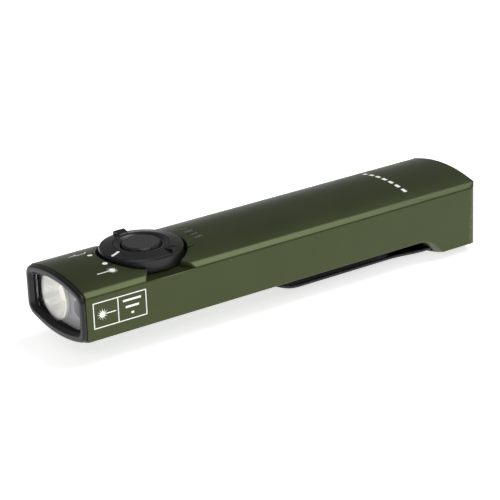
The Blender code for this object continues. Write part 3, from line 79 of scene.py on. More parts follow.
bodySizes = {
    "height": 15.0 * mm,
    "crownRadius": 37.5 * mm,
    "bellyRadius": 38.0 * mm,
    "chamferRun": 1.2 * mm,
    "chamferDrop": 0.92 * mm,
    "edgeRound": 0.22 * mm,
    "bellyRound": 0.35 * mm,
    "tailRound": 0.45 * mm,
    "tailCorner": 2.6 * mm,
    "heelLength": 17.75 * mm,
    "heelFillet": 6.9 * mm,
    "heelRamp": radians(45),
    "bayWall": 1.28 * mm,
    "bayCorner": 2.2 * mm,
    "bayDepth": 10.4 * mm,
    "sideWall": 1.4 * mm,
    "bellyWall": 2.0 * mm,
    "endWall": 5.2 * mm,
    "cavityCorner": 2.0 * mm,
    "cavitySteps": 6,
    "pocketRadius": 10.3 * mm,
    "pocketLip": 0.12 * mm,
    "pocketWall": 1.15 * mm,
    "hubSeat": 5.8 * mm,
    "hubSeatDepth": 0.5 * mm,
    "stemHole": 1.7 * mm,
    "magnetPocket": 0.95 * mm,
    "magnetRoof": 0.3 * mm,
    "barPitch": 2.09 * mm,
    "barSlot": (2.6 * mm, 0.8 * mm),
    "portRadius": 6.0 * mm,
    "portDepth": 4.3 * mm,
    "neckRadius": 4.2 * mm,
    "neckEnd": 6.2 * mm,
    "clipSlotHalf": 9.3 * mm,
    "clipSlotMiddle": 1.31 * mm,
    "clipSlotHeight": 1.5 * mm,
    "clipSlotEnd": 7.3 * mm,
    "screwSetback": 3.4 * mm,
    "screwY": 5.0 * mm,
    "screwShaft": (1.1 * mm, 4.5 * mm),
    "screwSeat": (2.0 * mm, 0.75 * mm),
    "notchInner": 8.2 * mm,
    "notchOuter": 12.9 * mm,
    "notchStart": 9.0 * mm,
    "crownSteps": 48,
    "stationStep": 3.1 * mm,
    "tailStations": 11,
}
heelDropFull = crownZ - bodySizes["height"]
bellyZ = heelDropFull
chamferY = halfWidth - bodySizes["chamferRun"]


def archDrop(radius, across):
    return radius - sqrt(max(radius ** 2 - across ** 2, 0))


chamferTop = crownZ - archDrop(bodySizes["crownRadius"], chamferY)
sideTop = chamferTop - bodySizes["chamferDrop"]
pocketFloor = sideTop - bodySizes["pocketLip"]


def topHeight(y):
    # height of the body's top surface at y, carried on past the side along the chamfer
    across = abs(y)
    if across <= chamferY:
        return crownZ - archDrop(bodySizes["crownRadius"], across)
    return chamferTop - (across - chamferY) * bodySizes["chamferDrop"] / bodySizes["chamferRun"]


# Camera, floor and light.

viewSizes = {
    "aim": (-2.57 * mm, 0.77 * mm, 0.25 * mm),      # from the middle of the object's box
    "distance": 487.8 * mm,
    "azimuth": radians(-33.79),
    "elevation": radians(21.65),
    "roll": radians(2.24),
    "lens": 151.15,
    "sensor": 36,
    "near": 0.01,
    "far": 20,
}


def makeCamera(sizes):
    aim = (cadLow + cadHigh) / 2 + Vector(sizes["aim"])
    lift = sizes["elevation"]
    back = Vector((sin(sizes["azimuth"]) * cos(lift), -cos(sizes["azimuth"]) * cos(lift), sin(lift)))
    data = bpy.data.cameras.new("studioCamera")
    data.lens = sizes["lens"]
    data.sensor_width = sizes["sensor"]
    data.clip_start = sizes["near"]
    data.clip_end = sizes["far"]
    camera = bpy.data.objects.new("studioCamera", data)
    scene.collection.objects.link(camera)
    turn = back.to_track_quat("Z", "Y").to_matrix() @ Matrix.Rotation(-sizes["roll"], 3, "Z")
    camera.matrix_world = Matrix.Translation(aim + back * sizes["distance"]) @ turn.to_4x4()
    scene.camera = camera


makeCamera(viewSizes)


def addObject(name, mesh):
    obj = bpy.data.objects.new(name, mesh)
    scene.collection.objects.link(obj)
    return obj


def meshFrom(bm, name):
    mesh = bpy.data.meshes.new(name)
    bm.normal_update()
    bm.to_mesh(mesh)
    bm.free()
    return mesh


def newMaterial(name):
    made = bpy.data.materials.new(name)
    made.use_nodes = True
    tree = made.node_tree
    return made, tree, tree.nodes["Principled BSDF"]


def addLight(name, place, aim, size, power):
    data = bpy.data.lights.new(name, "AREA")
    data.shape = "RECTANGLE"
    data.size = size[0]
    data.size_y = size[1]
    data.energy = power
    lamp = bpy.data.objects.new(name, data)
    scene.collection.objects.link(lamp)
    lamp.location = place
    lamp.rotation_euler = (Vector(place) - Vector(aim)).to_track_quat("Z", "Y").to_euler()
    return lamp


studioSizes = {
    "floorHalf": 3.0,
    "floorDrop": 0.05 * mm,
    "floorColour": (0.93, 0.93, 0.93),
    "floorRough": 0.9,
    "aim": (0, 0, 0.01),
    "floorGlow": 0.70,
    "skyStrength": 0.23,
    "topPlace": (0.30, -0.12, 0.62),
    "topSize": (0.5, 0.35),
    "topPower": 2.5,
    "frontPlace": (-0.42, -0.62, 0.58),
    "frontSize": (0.95, 0.2),
    "frontPower": 1.5,
}


def makeStudio(sizes):
    bm = bmesh.new()
    bmesh.ops.create_grid(bm, x_segments=1, y_segments=1, size=sizes["floorHalf"])
    bmesh.ops.translate(bm, verts=bm.verts, vec=(0, 0, -sizes["floorDrop"]))
    floor = addObject("studioFloor", meshFrom(bm, "studioFloor"))
    made, _, shader = newMaterial("paleFloor")
    shader.inputs["Base Color"].default_value = (*sizes["floorColour"], 1)
    shader.inputs["Roughness"].default_value = sizes["floorRough"]
    shader.inputs["Emission Color"].default_value = (1, 1, 1, 1)
    shader.inputs["Emission Strength"].default_value = sizes["floorGlow"]
    floor.data.materials.append(made)
    world = bpy.data.worlds.new("studioSky")
    scene.world = world
    world.use_nodes = True
    world.node_tree.nodes["Background"].inputs["Color"].default_value = (1, 1, 1, 1)
    world.node_tree.nodes["Background"].inputs["Strength"].default_value = sizes["skyStrength"]
    addLight("topSoftbox", sizes["topPlace"], sizes["aim"], sizes["topSize"], sizes["topPower"])
    addLight("frontSoftbox", sizes["frontPlace"], sizes["aim"], sizes["frontSize"], sizes["frontPower"])


makeStudio(studioSizes)
print("camera, floor and light ready")


# Shared shader groups.

def startGroup(name, inputs, outputs):
    group = bpy.data.node_groups.new(name, "ShaderNodeTree")
    for label, kind, value in inputs:
        socket = group.interface.new_socket(name=label, in_out="INPUT", socket_type=kind)
        socket.default_value = value
    for label, kind in outputs:
        group.interface.new_socket(name=label, in_out="OUTPUT", socket_type=kind)
    return group, group.nodes.new("NodeGroupInput"), group.nodes.new("NodeGroupOutput")


def addMath(tree, operation, first, second):
    made = tree.nodes.new("ShaderNodeMath")
    made.operation = operation
    for socket, value in zip(made.inputs, (first, second)):
        if isinstance(value, (int, float)):
            socket.default_value = value
        else:
            tree.links.new(value, socket)
    return made.outputs[0]


def addNoise(tree, vector, scale, detail, roughness=0.5):
    noise = tree.nodes.new("ShaderNodeTexNoise")
    tree.links.new(vector, noise.inputs["Vector"])
    if isinstance(scale, (int, float)):
        noise.inputs["Scale"].default_value = scale
    else:
        tree.links.new(scale, noise.inputs["Scale"])
    noise.inputs["Detail"].default_value = detail
    noise.inputs["Roughness"].default_value = roughness
    return noise.outputs["Fac"]


def addRange(tree, value, low, high, toLow, toHigh):
    made = tree.nodes.new("ShaderNodeMapRange")
    tree.links.new(value, made.inputs["Value"])
    for label, number in zip(("From Min", "From Max", "To Min", "To Max"), (low, high, toLow, toHigh)):
        if isinstance(number, (int, float)):
            made.inputs[label].default_value = number
        else:
            tree.links.new(number, made.inputs[label])
    return made.outputs["Result"]


def addMix(tree, factor, first, second):
    made = tree.nodes.new("ShaderNodeMix")
    made.data_type = "RGBA"
    colours = [socket for socket in made.inputs if socket.type == "RGBA"]
    factorSocket = made.inputs["Factor"]
    if isinstance(factor, (int, float)):
        factorSocket.default_value = factor
    else:
        tree.links.new(factor, factorSocket)
    for socket, value in zip(colours, (first, second)):
        if isinstance(value, tuple):
            socket.default_value = (*value, 1)
        else:
            tree.links.new(value, socket)
    return [socket for socket in made.outputs if socket.type == "RGBA"][0]


def makeBlastGrain():
    # fine pitted grain, with slow cloudy changes of tone
    group, given, result = startGroup("blastGrain", [
        ("Vector", "NodeSocketVector", (0, 0, 0)), ("Pit Scale", "NodeSocketFloat", 6000),
        ("Cloud Scale", "NodeSocketFloat", 60)], [
        ("Height", "NodeSocketFloat"), ("Tone", "NodeSocketFloat"), ("Cloud", "NodeSocketFloat")])
    fine = addNoise(group, given.outputs["Vector"], given.outputs["Pit Scale"], 3, 0.6)
    coarse = addNoise(group, given.outputs["Vector"],
                      addMath(group, "MULTIPLY", given.outputs["Pit Scale"], 0.31), 2)
    height = addMath(group, "ADD", addMath(group, "MULTIPLY", fine, 0.6),
                     addMath(group, "MULTIPLY", coarse, 0.4))
    cloud = addNoise(group, given.outputs["Vector"], given.outputs["Cloud Scale"], 4)
    group.links.new(height, result.inputs["Height"])
    group.links.new(addRange(group, fine, 0.3, 0.7, 0.0, 1.0), result.inputs["Tone"])
    group.links.new(addRange(group, cloud, 0.35, 0.65, 0.0, 1.0), result.inputs["Cloud"])
    return group


def makeEdgeWear():
    # bright where the surface turns over an edge, broken up by noise
    group, given, result = startGroup("edgeWear", [
        ("Vector", "NodeSocketVector", (0, 0, 0)), ("Amount", "NodeSocketFloat", 0.5),
        ("Breakup Scale", "NodeSocketFloat", 1400)], [("Mask", "NodeSocketFloat")])
    shape = group.nodes.new("ShaderNodeNewGeometry")
    edge = addRange(group, shape.outputs["Pointiness"], 0.53, 0.62, 0.0, 1.0)
    broken = addRange(group, addNoise(group, given.outputs["Vector"],
                                      given.outputs["Breakup Scale"], 3), 0.42, 0.6, 0.0, 1.0)
    mask = addMath(group, "MULTIPLY", addMath(group, "MULTIPLY", edge, broken), given.outputs["Amount"])
    group.links.new(mask, result.inputs["Mask"])
    return group


def makeDust():
    # sparse pale specks
    group, given, result = startGroup("fineDust", [
        ("Vector", "NodeSocketVector", (0, 0, 0)), ("Speck Scale", "NodeSocketFloat", 1800),
        ("Amount", "NodeSocketFloat", 0.15)], [("Mask", "NodeSocketFloat")])
    specks = group.nodes.new("ShaderNodeTexVoronoi")
    group.links.new(given.outputs["Vector"], specks.inputs["Vector"])
    group.links.new(given.outputs["Speck Scale"], specks.inputs["Scale"])
    near = addRange(group, specks.outputs["Distance"], 0.05, 0.16, 1.0, 0.0)
    patch = addRange(group, addNoise(group, given.outputs["Vector"], 140.0, 2), 0.5, 0.7, 0.0, 1.0)
    mask = addMath(group, "MULTIPLY", addMath(group, "MULTIPLY", near, patch), given.outputs["Amount"])
    group.links.new(mask, result.inputs["Mask"])
    return group


def makeBrushed():
    # long fine scratches along one axis
    group, given, result = startGroup("brushedLines", [
        ("Vector", "NodeSocketVector", (0, 0, 0)), ("Stretch", "NodeSocketVector", (1, 12, 12)),
        ("Line Scale", "NodeSocketFloat", 900)], [("Height", "NodeSocketFloat")])
    scaled = group.nodes.new("ShaderNodeVectorMath")
    scaled.operation = "MULTIPLY"
    group.links.new(given.outputs["Vector"], scaled.inputs[0])
    group.links.new(given.outputs["Stretch"], scaled.inputs[1])
    lines = addNoise(group, scaled.outputs[0], given.outputs["Line Scale"], 3)
    group.links.new(lines, result.inputs["Height"])
    return group


blastGrain = makeBlastGrain()
edgeWear = makeEdgeWear()
fineDust = makeDust()
brushedLines = makeBrushed()


def placeGroup(tree, group, vector, values):
    made = tree.nodes.new("ShaderNodeGroup")
    made.node_tree = group
    tree.links.new(vector, made.inputs["Vector"])
    for label, value in values.items():
        made.inputs[label].default_value = value
    return made


# colour and second colour of each finish, roughness range, metallic, grain scale and depth (mm),
# wear and worn colour, dust, brush stretch and glow
plainFinish = dict(metal=0.0, pits=3000, depth=0.006, wear=0.0, worn=(0.5, 0.5, 0.5), dust=0.0)
finishes = {     # what each one changes from the plain finish
    "anodisedOlive": dict(base=(0.047, 0.063, 0.02), second=(0.054, 0.071, 0.025), rough=(0.34, 0.42),
                          metal=0.62, pits=7000, wear=0.3, worn=(0.2, 0.22, 0.13), dust=0.05),
    "anodisedBlack": dict(base=(0.02, 0.02, 0.024), second=(0.027, 0.027, 0.031), rough=(0.3, 0.42),
                          metal=0.55, pits=7000, depth=0.005, wear=0.2, worn=(0.1, 0.1, 0.11), dust=0.05),
    "ringBlack": dict(base=(0.02, 0.02, 0.022), second=(0.027, 0.027, 0.029), rough=(0.26, 0.36),
                      metal=0.45, pits=8000, wear=0.22, worn=(0.11, 0.11, 0.12), dust=0.08),
    "buttonBlack": dict(base=(0.032, 0.032, 0.034), second=(0.042, 0.042, 0.044), rough=(0.22, 0.3),
                        metal=0.25, pits=8000, wear=0.18, worn=(0.12, 0.12, 0.12), dust=0.1),
    "clipCoat": dict(base=(0.014, 0.014, 0.016), second=(0.02, 0.02, 0.022), rough=(0.28, 0.4), metal=0.6,
                     pits=6000, depth=0.005, wear=0.35, worn=(0.16, 0.16, 0.17), dust=0.05),
    "screwOxide": dict(base=(0.022, 0.022, 0.023), second=(0.035, 0.035, 0.036), rough=(0.25, 0.4),
                       metal=0.8, pits=5000, wear=0.5, worn=(0.25, 0.25, 0.26)),
    "satinPlate": dict(base=(0.3, 0.3, 0.305), second=(0.36, 0.36, 0.365), rough=(0.32, 0.44), metal=0.35,
                       pits=5000, depth=0.004),
    "turnedAluminium": dict(base=(0.55, 0.55, 0.56), second=(0.63, 0.63, 0.64), rough=(0.26, 0.4),
                            metal=0.95, pits=2600, depth=0.008, brush=(1, 10, 10)),
    "turnedBrass": dict(base=(0.55, 0.38, 0.15), second=(0.64, 0.46, 0.2), rough=(0.22, 0.36), metal=1.0,
                        pits=2600, brush=(10, 1, 1)),
    "springSteel": dict(base=(0.46, 0.46, 0.48), second=(0.55, 0.55, 0.57), rough=(0.2, 0.32), metal=1.0,
                        depth=0.003),
    "blackRubber": dict(base=(0.01, 0.01, 0.01), second=(0.018, 0.018, 0.018), rough=(0.62, 0.82),
                        pits=4000, depth=0.01, dust=0.1),
    "boardGreen": dict(base=(0.006, 0.09, 0.035), second=(0.012, 0.13, 0.055), rough=(0.3, 0.45),
                       pits=1500),
    "boardWhite": dict(base=(0.7, 0.7, 0.67), second=(0.8, 0.8, 0.77), rough=(0.4, 0.55), depth=0.003),
    "mouldedChip": dict(base=(0.016, 0.016, 0.018), second=(0.026, 0.026, 0.028), rough=(0.5, 0.65),
                        pits=6000, depth=0.008),
    "nickelPlate": dict(base=(0.58, 0.56, 0.52), second=(0.66, 0.64, 0.6), rough=(0.15, 0.28), metal=1.0,
                        depth=0.003),
    "goldPlate": dict(base=(0.72, 0.48, 0.16), second=(0.82, 0.58, 0.22), rough=(0.16, 0.3), metal=1.0,
                      depth=0.003, wear=0.3, worn=(0.7, 0.62, 0.45)),
    "cellWrap": dict(base=(0.04, 0.09, 0.24), second=(0.06, 0.12, 0.3), rough=(0.3, 0.42), pits=900,
                     depth=0.02),
    "blackFoam": dict(base=(0.014, 0.014, 0.014), second=(0.03, 0.03, 0.03), rough=(0.85, 0.98),
                      pits=2200, depth=0.06),
    "redLead": dict(base=(0.36, 0.014, 0.014), second=(0.45, 0.025, 0.02), rough=(0.35, 0.5), pits=2500),
    "blackLead": dict(base=(0.012, 0.012, 0.012), second=(0.02, 0.02, 0.02), rough=(0.35, 0.5),
                      pits=2500),
    "blackPlastic": dict(base=(0.016, 0.016, 0.017), second=(0.024, 0.024, 0.025), rough=(0.42, 0.58),
                         pits=5000, depth=0.01, dust=0.04),
    # white print paint with a faint emission: painted glow that brightens the marks beyond the lamps' light
    "markPaint": dict(base=(0.86, 0.86, 0.83), second=(0.9, 0.9, 0.87), rough=(0.5, 0.6), pits=6000,
                      glow=(1.0, 1.0, 0.96), strength=0.18),
    "milkyGuide": dict(base=(0.1, 0.12, 0.09), second=(0.13, 0.15, 0.12), rough=(0.3, 0.42), pits=4000,
                       depth=0.004),
    "phosphor": dict(base=(0.85, 0.66, 0.16), second=(0.92, 0.76, 0.25), rough=(0.35, 0.5), pits=4000,
                     glow=(1.0, 0.8, 0.42), strength=1.6),
    # pale bowl with a faint emission: painted glow that keeps the optic looking lit
    "reflector": dict(base=(0.88, 0.87, 0.85), second=(0.93, 0.92, 0.9), rough=(0.26, 0.36), metal=0.4,
                      pits=1600, depth=0.004, glow=(1.0, 0.97, 0.92), strength=0.1),
    "glowingLens": dict(base=(0.92, 0.89, 0.8), second=(0.95, 0.92, 0.85), rough=(0.15, 0.25),
                        depth=0.003, glow=(1.0, 0.9, 0.68), strength=0.4),
}


def makeFinish(name, sizes):
    made, tree, shader = newMaterial(name)
    where = tree.nodes.new("ShaderNodeTexCoord").outputs["Object"]
    grain = placeGroup(tree, blastGrain, where, {"Pit Scale": sizes["pits"]})
    colour = addMix(tree, grain.outputs["Cloud"], sizes["base"], sizes["second"])
    colour = addMix(tree, addMath(tree, "MULTIPLY", grain.outputs["Tone"], 0.25), colour,
                    tuple(1.25 * part for part in sizes["second"]))
    if sizes["wear"]:
        wear = placeGroup(tree, edgeWear, where, {"Amount": sizes["wear"]})
        colour = addMix(tree, wear.outputs["Mask"], colour, sizes["worn"])
    if sizes["dust"]:
        dust = placeGroup(tree, fineDust, where, {"Amount": sizes["dust"]})
        colour = addMix(tree, dust.outputs["Mask"], colour, (0.5, 0.5, 0.48))
    tree.links.new(colour, shader.inputs["Base Color"])
    shader.inputs["Metallic"].default_value = sizes["metal"]
    low, high = sizes["rough"]
    mixed = addMath(tree, "ADD", addMath(tree, "MULTIPLY", grain.outputs["Cloud"], 0.6),
                    addMath(tree, "MULTIPLY", grain.outputs["Tone"], 0.4))
    tree.links.new(addRange(tree, mixed, 0.0, 1.0, low, high), shader.inputs["Roughness"])
    height = grain.outputs["Height"]
    if "brush" in sizes:
        lines = placeGroup(tree, brushedLines, where, {"Stretch": sizes["brush"]})
        height = addMath(tree, "ADD", height, lines.outputs["Height"])
    bump = tree.nodes.new("ShaderNodeBump")
    bump.inputs["Strength"].default_value = 0.35
    bump.inputs["Distance"].default_value = sizes["depth"] * mm
    tree.links.new(height, bump.inputs["Height"])
    tree.links.new(bump.outputs["Normal"], shader.inputs["Normal"])
    # glow is emission: on the phosphor it is the LED's own light; on the mark paint, the reflector bowl and
    # the lens it is painted glow
    if "glow" in sizes:
        shader.inputs["Emission Color"].default_value = (*sizes["glow"], 1)
        shader.inputs["Emission Strength"].default_value = sizes["strength"]
    return made


def makeClear(name, colour, rough, ior):
    made, tree, shader = newMaterial(name)
    where = tree.nodes.new("ShaderNodeTexCoord").outputs["Object"]
    grain = placeGroup(tree, blastGrain, where, {"Pit Scale": 900.0, "Cloud Scale": 90.0})
    tree.links.new(addMix(tree, grain.outputs["Cloud"], colour, tuple(0.985 * part for part in colour)),
                   shader.inputs["Base Color"])
    tree.links.new(addRange(tree, grain.outputs["Tone"], 0.0, 1.0, rough, rough + 0.015),
                   shader.inputs["Roughness"])
    shader.inputs["Transmission Weight"].default_value = 1.0
    shader.inputs["IOR"].default_value = ior
    return made


looks = {name: makeFinish(name, {**plainFinish, **sizes}) for name, sizes in finishes.items()}
looks["clearWindow"] = makeClear("clearWindow", (0.97, 0.985, 0.98), 0.0, 1.30)

nodeLooks = {
    "blackRubber": ("window_gasket", "ring_seal", "stem_seal", "tail_seal"),
    "clearWindow": ("window_glass", "laser_lens"),
    "phosphor": ("led_emitter",),
    "boardWhite": ("led_board", "indicator_led_1", "indicator_led_2", "indicator_led_3", "indicator_led_4"),
    "turnedAluminium": ("optic_carrier", "heat_sink"),
    "turnedBrass": ("laser_barrel",),
    "goldPlate": ("laser_diode",),
    "boardGreen": ("laser_board", "driver_board", "protection_board", "charge_board"),
    "nickelPlate": ("ring_magnet", "laser_detent_magnet", "lamp_detent_magnet", "tail_magnet"),
    "springSteel": ("button_spring",),
    "blackPlastic": ("switch_housing", "switch_plunger"),
    "mouldedChip": ("control_chip", "power_inductor", "position_sensor"),
    "cellWrap": ("battery_cell",),
    "blackFoam": ("battery_pad",),
    "redLead": ("battery_lead_positive", "charge_lead_positive"),
    "blackLead": ("battery_lead_negative", "charge_lead_negative"),
    "milkyGuide": ("light_guide",),
}
for look, names in nodeLooks.items():
    for name in names:
        slots = nodes[name].material_slots
        for index in range(len(slots)):
            slots[index].material = looks[look]
print("finishes ready:", len(looks))


# Mesh making.

def crownedOutline(half, top, bottom, corner, cornerSteps=8, crownSteps=32):
    # straight sides, arched top and bottom, rounded corners, as (y, z) points anticlockwise
    outline = []
    for side, apex, radius in ((1, top, bodySizes["crownRadius"]), (-1, bottom, bodySizes["bellyRadius"])):
        centreY = half - corner
        rise = sqrt((radius - corner) ** 2 - centreY ** 2)
        centreZ = apex - side * radius
        meet = atan2(rise, centreY)
        run = []
        for i in range(cornerSteps + 1):
            turn = meet * i / cornerSteps
            run.append((centreY + corner * cos(turn), centreZ + side * (rise + corner * sin(turn))))
        for i in range(1, crownSteps):
            turn = meet + (pi - 2 * meet) * i / crownSteps
            run.append((radius * cos(turn), centreZ + side * radius * sin(turn)))
        run += [(-y, z) for y, z in reversed(run[:cornerSteps + 1])]
        outline += run if side > 0 else run[::-1]
    return outline


def roundedBox(half, low, high, corner, steps):
    outline = []
    for u, v, start in ((half - corner, high - corner, 0), (-half + corner, high - corner, 90),
                        (-half + corner, low + corner, 180), (half - corner, low + corner, 270)):
        for i in range(steps + 1):
            turn = radians(start + 90 * i / steps)
            outline.append((u + corner * cos(turn), v + corner * sin(turn)))
    return outline


def skin(name, sections, closed=False):
    # quads over (x, outline) sections; the ends are filled, or joined to each other when closed
    bm = bmesh.new()
    rings = [[bm.verts.new((x, y, z)) for y, z in outline] for x, outline in sections]
    count = len(rings[0])
    pairs = list(zip(rings, rings[1:]))
    if closed:
        pairs.append((rings[-1], rings[0]))
    for near, far in pairs:
        for i in range(count):
            j = (i + 1) % count
            bm.faces.new((near[i], near[j], far[j], far[i]))
    if not closed:
        bm.faces.new(list(reversed(rings[0])))
        bm.faces.new(rings[-1])
    bmesh.ops.recalc_face_normals(bm, faces=bm.faces)
    return addObject(name, meshFrom(bm, name))


def slab(name, outline, low, high):
    # a flat (x, y) outline from z = low to z = high
    bm = bmesh.new()
    under = [bm.verts.new((x, y, low)) for x, y in outline]
    over = [bm.verts.new((x, y, high)) for x, y in outline]
    for i in range(len(outline)):
        j = (i + 1) % len(outline)
        bm.faces.new((under[i], under[j], over[j], over[i]))
    bm.faces.new(list(reversed(under)))
    bm.faces.new(over)
    bmesh.ops.recalc_face_normals(bm, faces=bm.faces)
    return addObject(name, meshFrom(bm, name))


def across(name, outline, near, far):
    return skin(name, [(near, outline), (far, outline)])


def softened(profile, radius, closed=True):
    # every corner of an (r, z) profile given a small round
    steps, share, straight, shortest = 3, 0.45, radians(172), 0.02 * mm
    result = []
    count = len(profile)
    for i, point in enumerate(profile):
        if not closed and i in (0, count - 1):
            result.append(point)
            continue
        here = Vector(point)
        before, after = Vector(profile[i - 1]), Vector(profile[(i + 1) % count])
        toBefore, toAfter = before - here, after - here
        bend = toBefore.angle(toAfter)
        if bend > straight or min(toBefore.length, toAfter.length) < shortest:
            result.append(point)
            continue
        reach = min(radius, share * toBefore.length, share * toAfter.length)
        start = here + toBefore.normalized() * reach
        end = here + toAfter.normalized() * reach
        for k in range(steps + 1):
            t = k / steps
            spot = start * (1 - t) ** 2 + here * 2 * t * (1 - t) + end * t ** 2
            result.append((spot.x, spot.y))
    return result


def turned(name, profile, centre, steps=96, alongX=False, closed=False):
    # an (r, z) profile spun round Z at centre, or round X
    bm = bmesh.new()
    none = 1e-7
    turns = [2 * pi * i / steps for i in range(steps)]
    columns = []
    for r, z in profile:
        around = [bm.verts.new((r * cos(turn), r * sin(turn), z)) for turn in turns] if r >= none else []
        columns.append((around, z))
    pairs = list(zip(columns, columns[1:]))
    if closed:
        pairs.append((columns[-1], columns[0]))
    for (first, low), (second, high) in pairs:
        rim = first or second
        if first and second:
            for i in range(steps):
                j = (i + 1) % steps
                bm.faces.new((first[i], first[j], second[j], second[i]))
        elif rim and abs(high - low) < none:
            bm.faces.new(rim)
        elif rim:
            tip = bm.verts.new((0, 0, high if first else low))
            for i in range(steps):
                bm.faces.new((rim[i], rim[(i + 1) % steps], tip))
    turn = Matrix.Rotation(radians(90), 4, "Y") if alongX else Matrix.Identity(4)
    bmesh.ops.transform(bm, matrix=Matrix.Translation(centre) @ turn, verts=bm.verts)
    bmesh.ops.recalc_face_normals(bm, faces=bm.faces)
    return addObject(name, meshFrom(bm, name))


def rod(name, radius, low, high, centre, steps=64, alongX=False):
    return turned(name, [(0, low), (radius, low), (radius, high), (0, high)], centre, steps, alongX)


def settle(obj):
    # the modifiers' result as the object's own mesh
    view = bpy.context.evaluated_depsgraph_get()
    mesh = bpy.data.meshes.new_from_object(obj.evaluated_get(view))
    mesh.name = obj.name
    obj.modifiers.clear()
    obj.data = mesh
    return obj


def cut(obj, tools, operation="DIFFERENCE"):
    # done a thousand times larger, where the solver keeps small edges closed
    enlarge = Matrix.Scale(1 / mm, 4)
    obj.data.transform(enlarge)
    for tool in tools:
        tool.data.transform(enlarge)
        step = obj.modifiers.new(tool.name, "BOOLEAN")
        step.operation = operation
        step.solver = "EXACT"
        step.object = tool
    settle(obj)
    obj.data.transform(enlarge.inverted())
    for tool in tools:
        bpy.data.objects.remove(tool, do_unlink=True)
    return obj


def bevelEdges(obj, width, chosen, turn=radians(12), segments=3):
    # rounds the edges that turn more than the given angle and that chosen(edge) accepts
    bm = bmesh.new()
    bm.from_mesh(obj.data)
    bmesh.ops.remove_doubles(bm, verts=bm.verts, dist=0.002 * mm)
    bmesh.ops.dissolve_degenerate(bm, edges=bm.edges, dist=0.001 * mm)
    weight = bm.edges.layers.float.new("bevel_weight_edge")
    for edge in bm.edges:
        if len(edge.link_faces) == 2 and edge.calc_face_angle(0) > turn:
            edge[weight] = chosen(edge)
    bm.to_mesh(obj.data)
    bm.free()
    step = obj.modifiers.new("softEdges", "BEVEL")
    step.limit_method = "WEIGHT"
    step.width = width
    step.segments = segments
    step.use_clamp_overlap = False
    step.miter_outer = "MITER_ARC"
    return settle(obj)


def shade(obj, look, angle=32, weighted=False):
    for face in obj.data.polygons:
        face.use_smooth = True
    obj.data.set_sharp_from_angle(angle=radians(angle))
    if weighted:
        step = obj.modifiers.new("flatFaces", "WEIGHTED_NORMAL")
        step.keep_sharp = True
        settle(obj)
    obj.data.materials.clear()
    obj.data.materials.append(looks[look])
    return obj


def adopt(obj, body, slot, *replaced):
    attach(obj, body)
    if replaced:
        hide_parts(*replaced)
    return obj


# Geometry Nodes trees.

def startTree(name, inputs):
    tree = bpy.data.node_groups.new(name, "GeometryNodeTree")
    for label, kind, value in inputs:
        socket = tree.interface.new_socket(name=label, in_out="INPUT", socket_type=kind)
        if value is not None:
            socket.default_value = value
    tree.interface.new_socket(name="Geometry", in_out="OUTPUT", socket_type="NodeSocketGeometry")
    return tree, tree.nodes.new("NodeGroupInput"), tree.nodes.new("NodeGroupOutput")


def addNode(tree, kind, links, **settings):
    made = tree.nodes.new(kind)
    for label, value in settings.items():
        setattr(made, label, value)
    for label, value in links.items():
        socket = made.inputs[label]
        if isinstance(value, bpy.types.NodeSocket):
            tree.links.new(value, socket)
        else:
            socket.default_value = value
    return made


def endTree(tree, given, result, geometry):
    real = addNode(tree, "GeometryNodeRealizeInstances", {"Geometry": geometry})
    finish = addNode(tree, "GeometryNodeSetMaterial", {
        "Geometry": real.outputs["Geometry"], "Material": given.outputs["Material"]})
    tree.links.new(finish.outputs["Geometry"], result.inputs["Geometry"])
    return tree


def makeRowTree():
    # blocks in a row along X, for dashes, ridges and bars
    tree, given, result = startTree("blockRow", [
        ("Count", "NodeSocketInt", 4), ("Pitch", "NodeSocketFloat", mm),
        ("Block", "NodeSocketVector", (mm, mm, mm)), ("Material", "NodeSocketMaterial", None)])
    step = addNode(tree, "ShaderNodeCombineXYZ", {"X": given.outputs["Pitch"]})
    line = addNode(tree, "GeometryNodeMeshLine", {
        "Count": given.outputs["Count"], "Offset": step.outputs[0]})
    block = addNode(tree, "GeometryNodeMeshCube", {"Size": given.outputs["Block"]})
    row = addNode(tree, "GeometryNodeInstanceOnPoints", {
        "Points": line.outputs["Mesh"], "Instance": block.outputs["Mesh"]})
    return endTree(tree, given, result, row.outputs["Instances"])


def makeRaysTree():
    # a disc with tapered rays round it, lying flat
    tree, given, result = startTree("rayBurst", [
        ("Rays", "NodeSocketInt", 16), ("Core Radius", "NodeSocketFloat", mm),
        ("Ray Length", "NodeSocketFloat", mm), ("Ray Width", "NodeSocketFloat", 0.1 * mm),
        ("Thickness", "NodeSocketFloat", 0.03 * mm), ("Material", "NodeSocketMaterial", None)])
    ring = addNode(tree, "GeometryNodeMeshCircle", {
        "Vertices": given.outputs["Rays"], "Radius": given.outputs["Core Radius"]})
    place = addNode(tree, "GeometryNodeInputPosition", {})
    align = addNode(tree, "FunctionNodeAlignRotationToVector", {
        "Vector": place.outputs["Position"]}, axis="X")
    ray = addNode(tree, "GeometryNodeMeshCylinder", {
        "Vertices": 3, "Radius": 0.5, "Depth": given.outputs["Thickness"]})
    shape = addNode(tree, "ShaderNodeCombineXYZ", {
        "X": given.outputs["Ray Length"], "Y": given.outputs["Ray Width"], "Z": 1.0})
    rays = addNode(tree, "GeometryNodeInstanceOnPoints", {
        "Points": ring.outputs["Mesh"], "Instance": ray.outputs["Mesh"],
        "Rotation": align.outputs["Rotation"], "Scale": shape.outputs[0]})
    core = addNode(tree, "GeometryNodeMeshCylinder", {
        "Vertices": 24, "Radius": given.outputs["Core Radius"], "Depth": given.outputs["Thickness"]})
    both = addNode(tree, "GeometryNodeJoinGeometry", {})
    tree.links.new(rays.outputs["Instances"], both.inputs["Geometry"])
    tree.links.new(core.outputs["Mesh"], both.inputs["Geometry"])
    return endTree(tree, given, result, both.outputs["Geometry"])


blockRow = makeRowTree()
rayBurst = makeRaysTree()


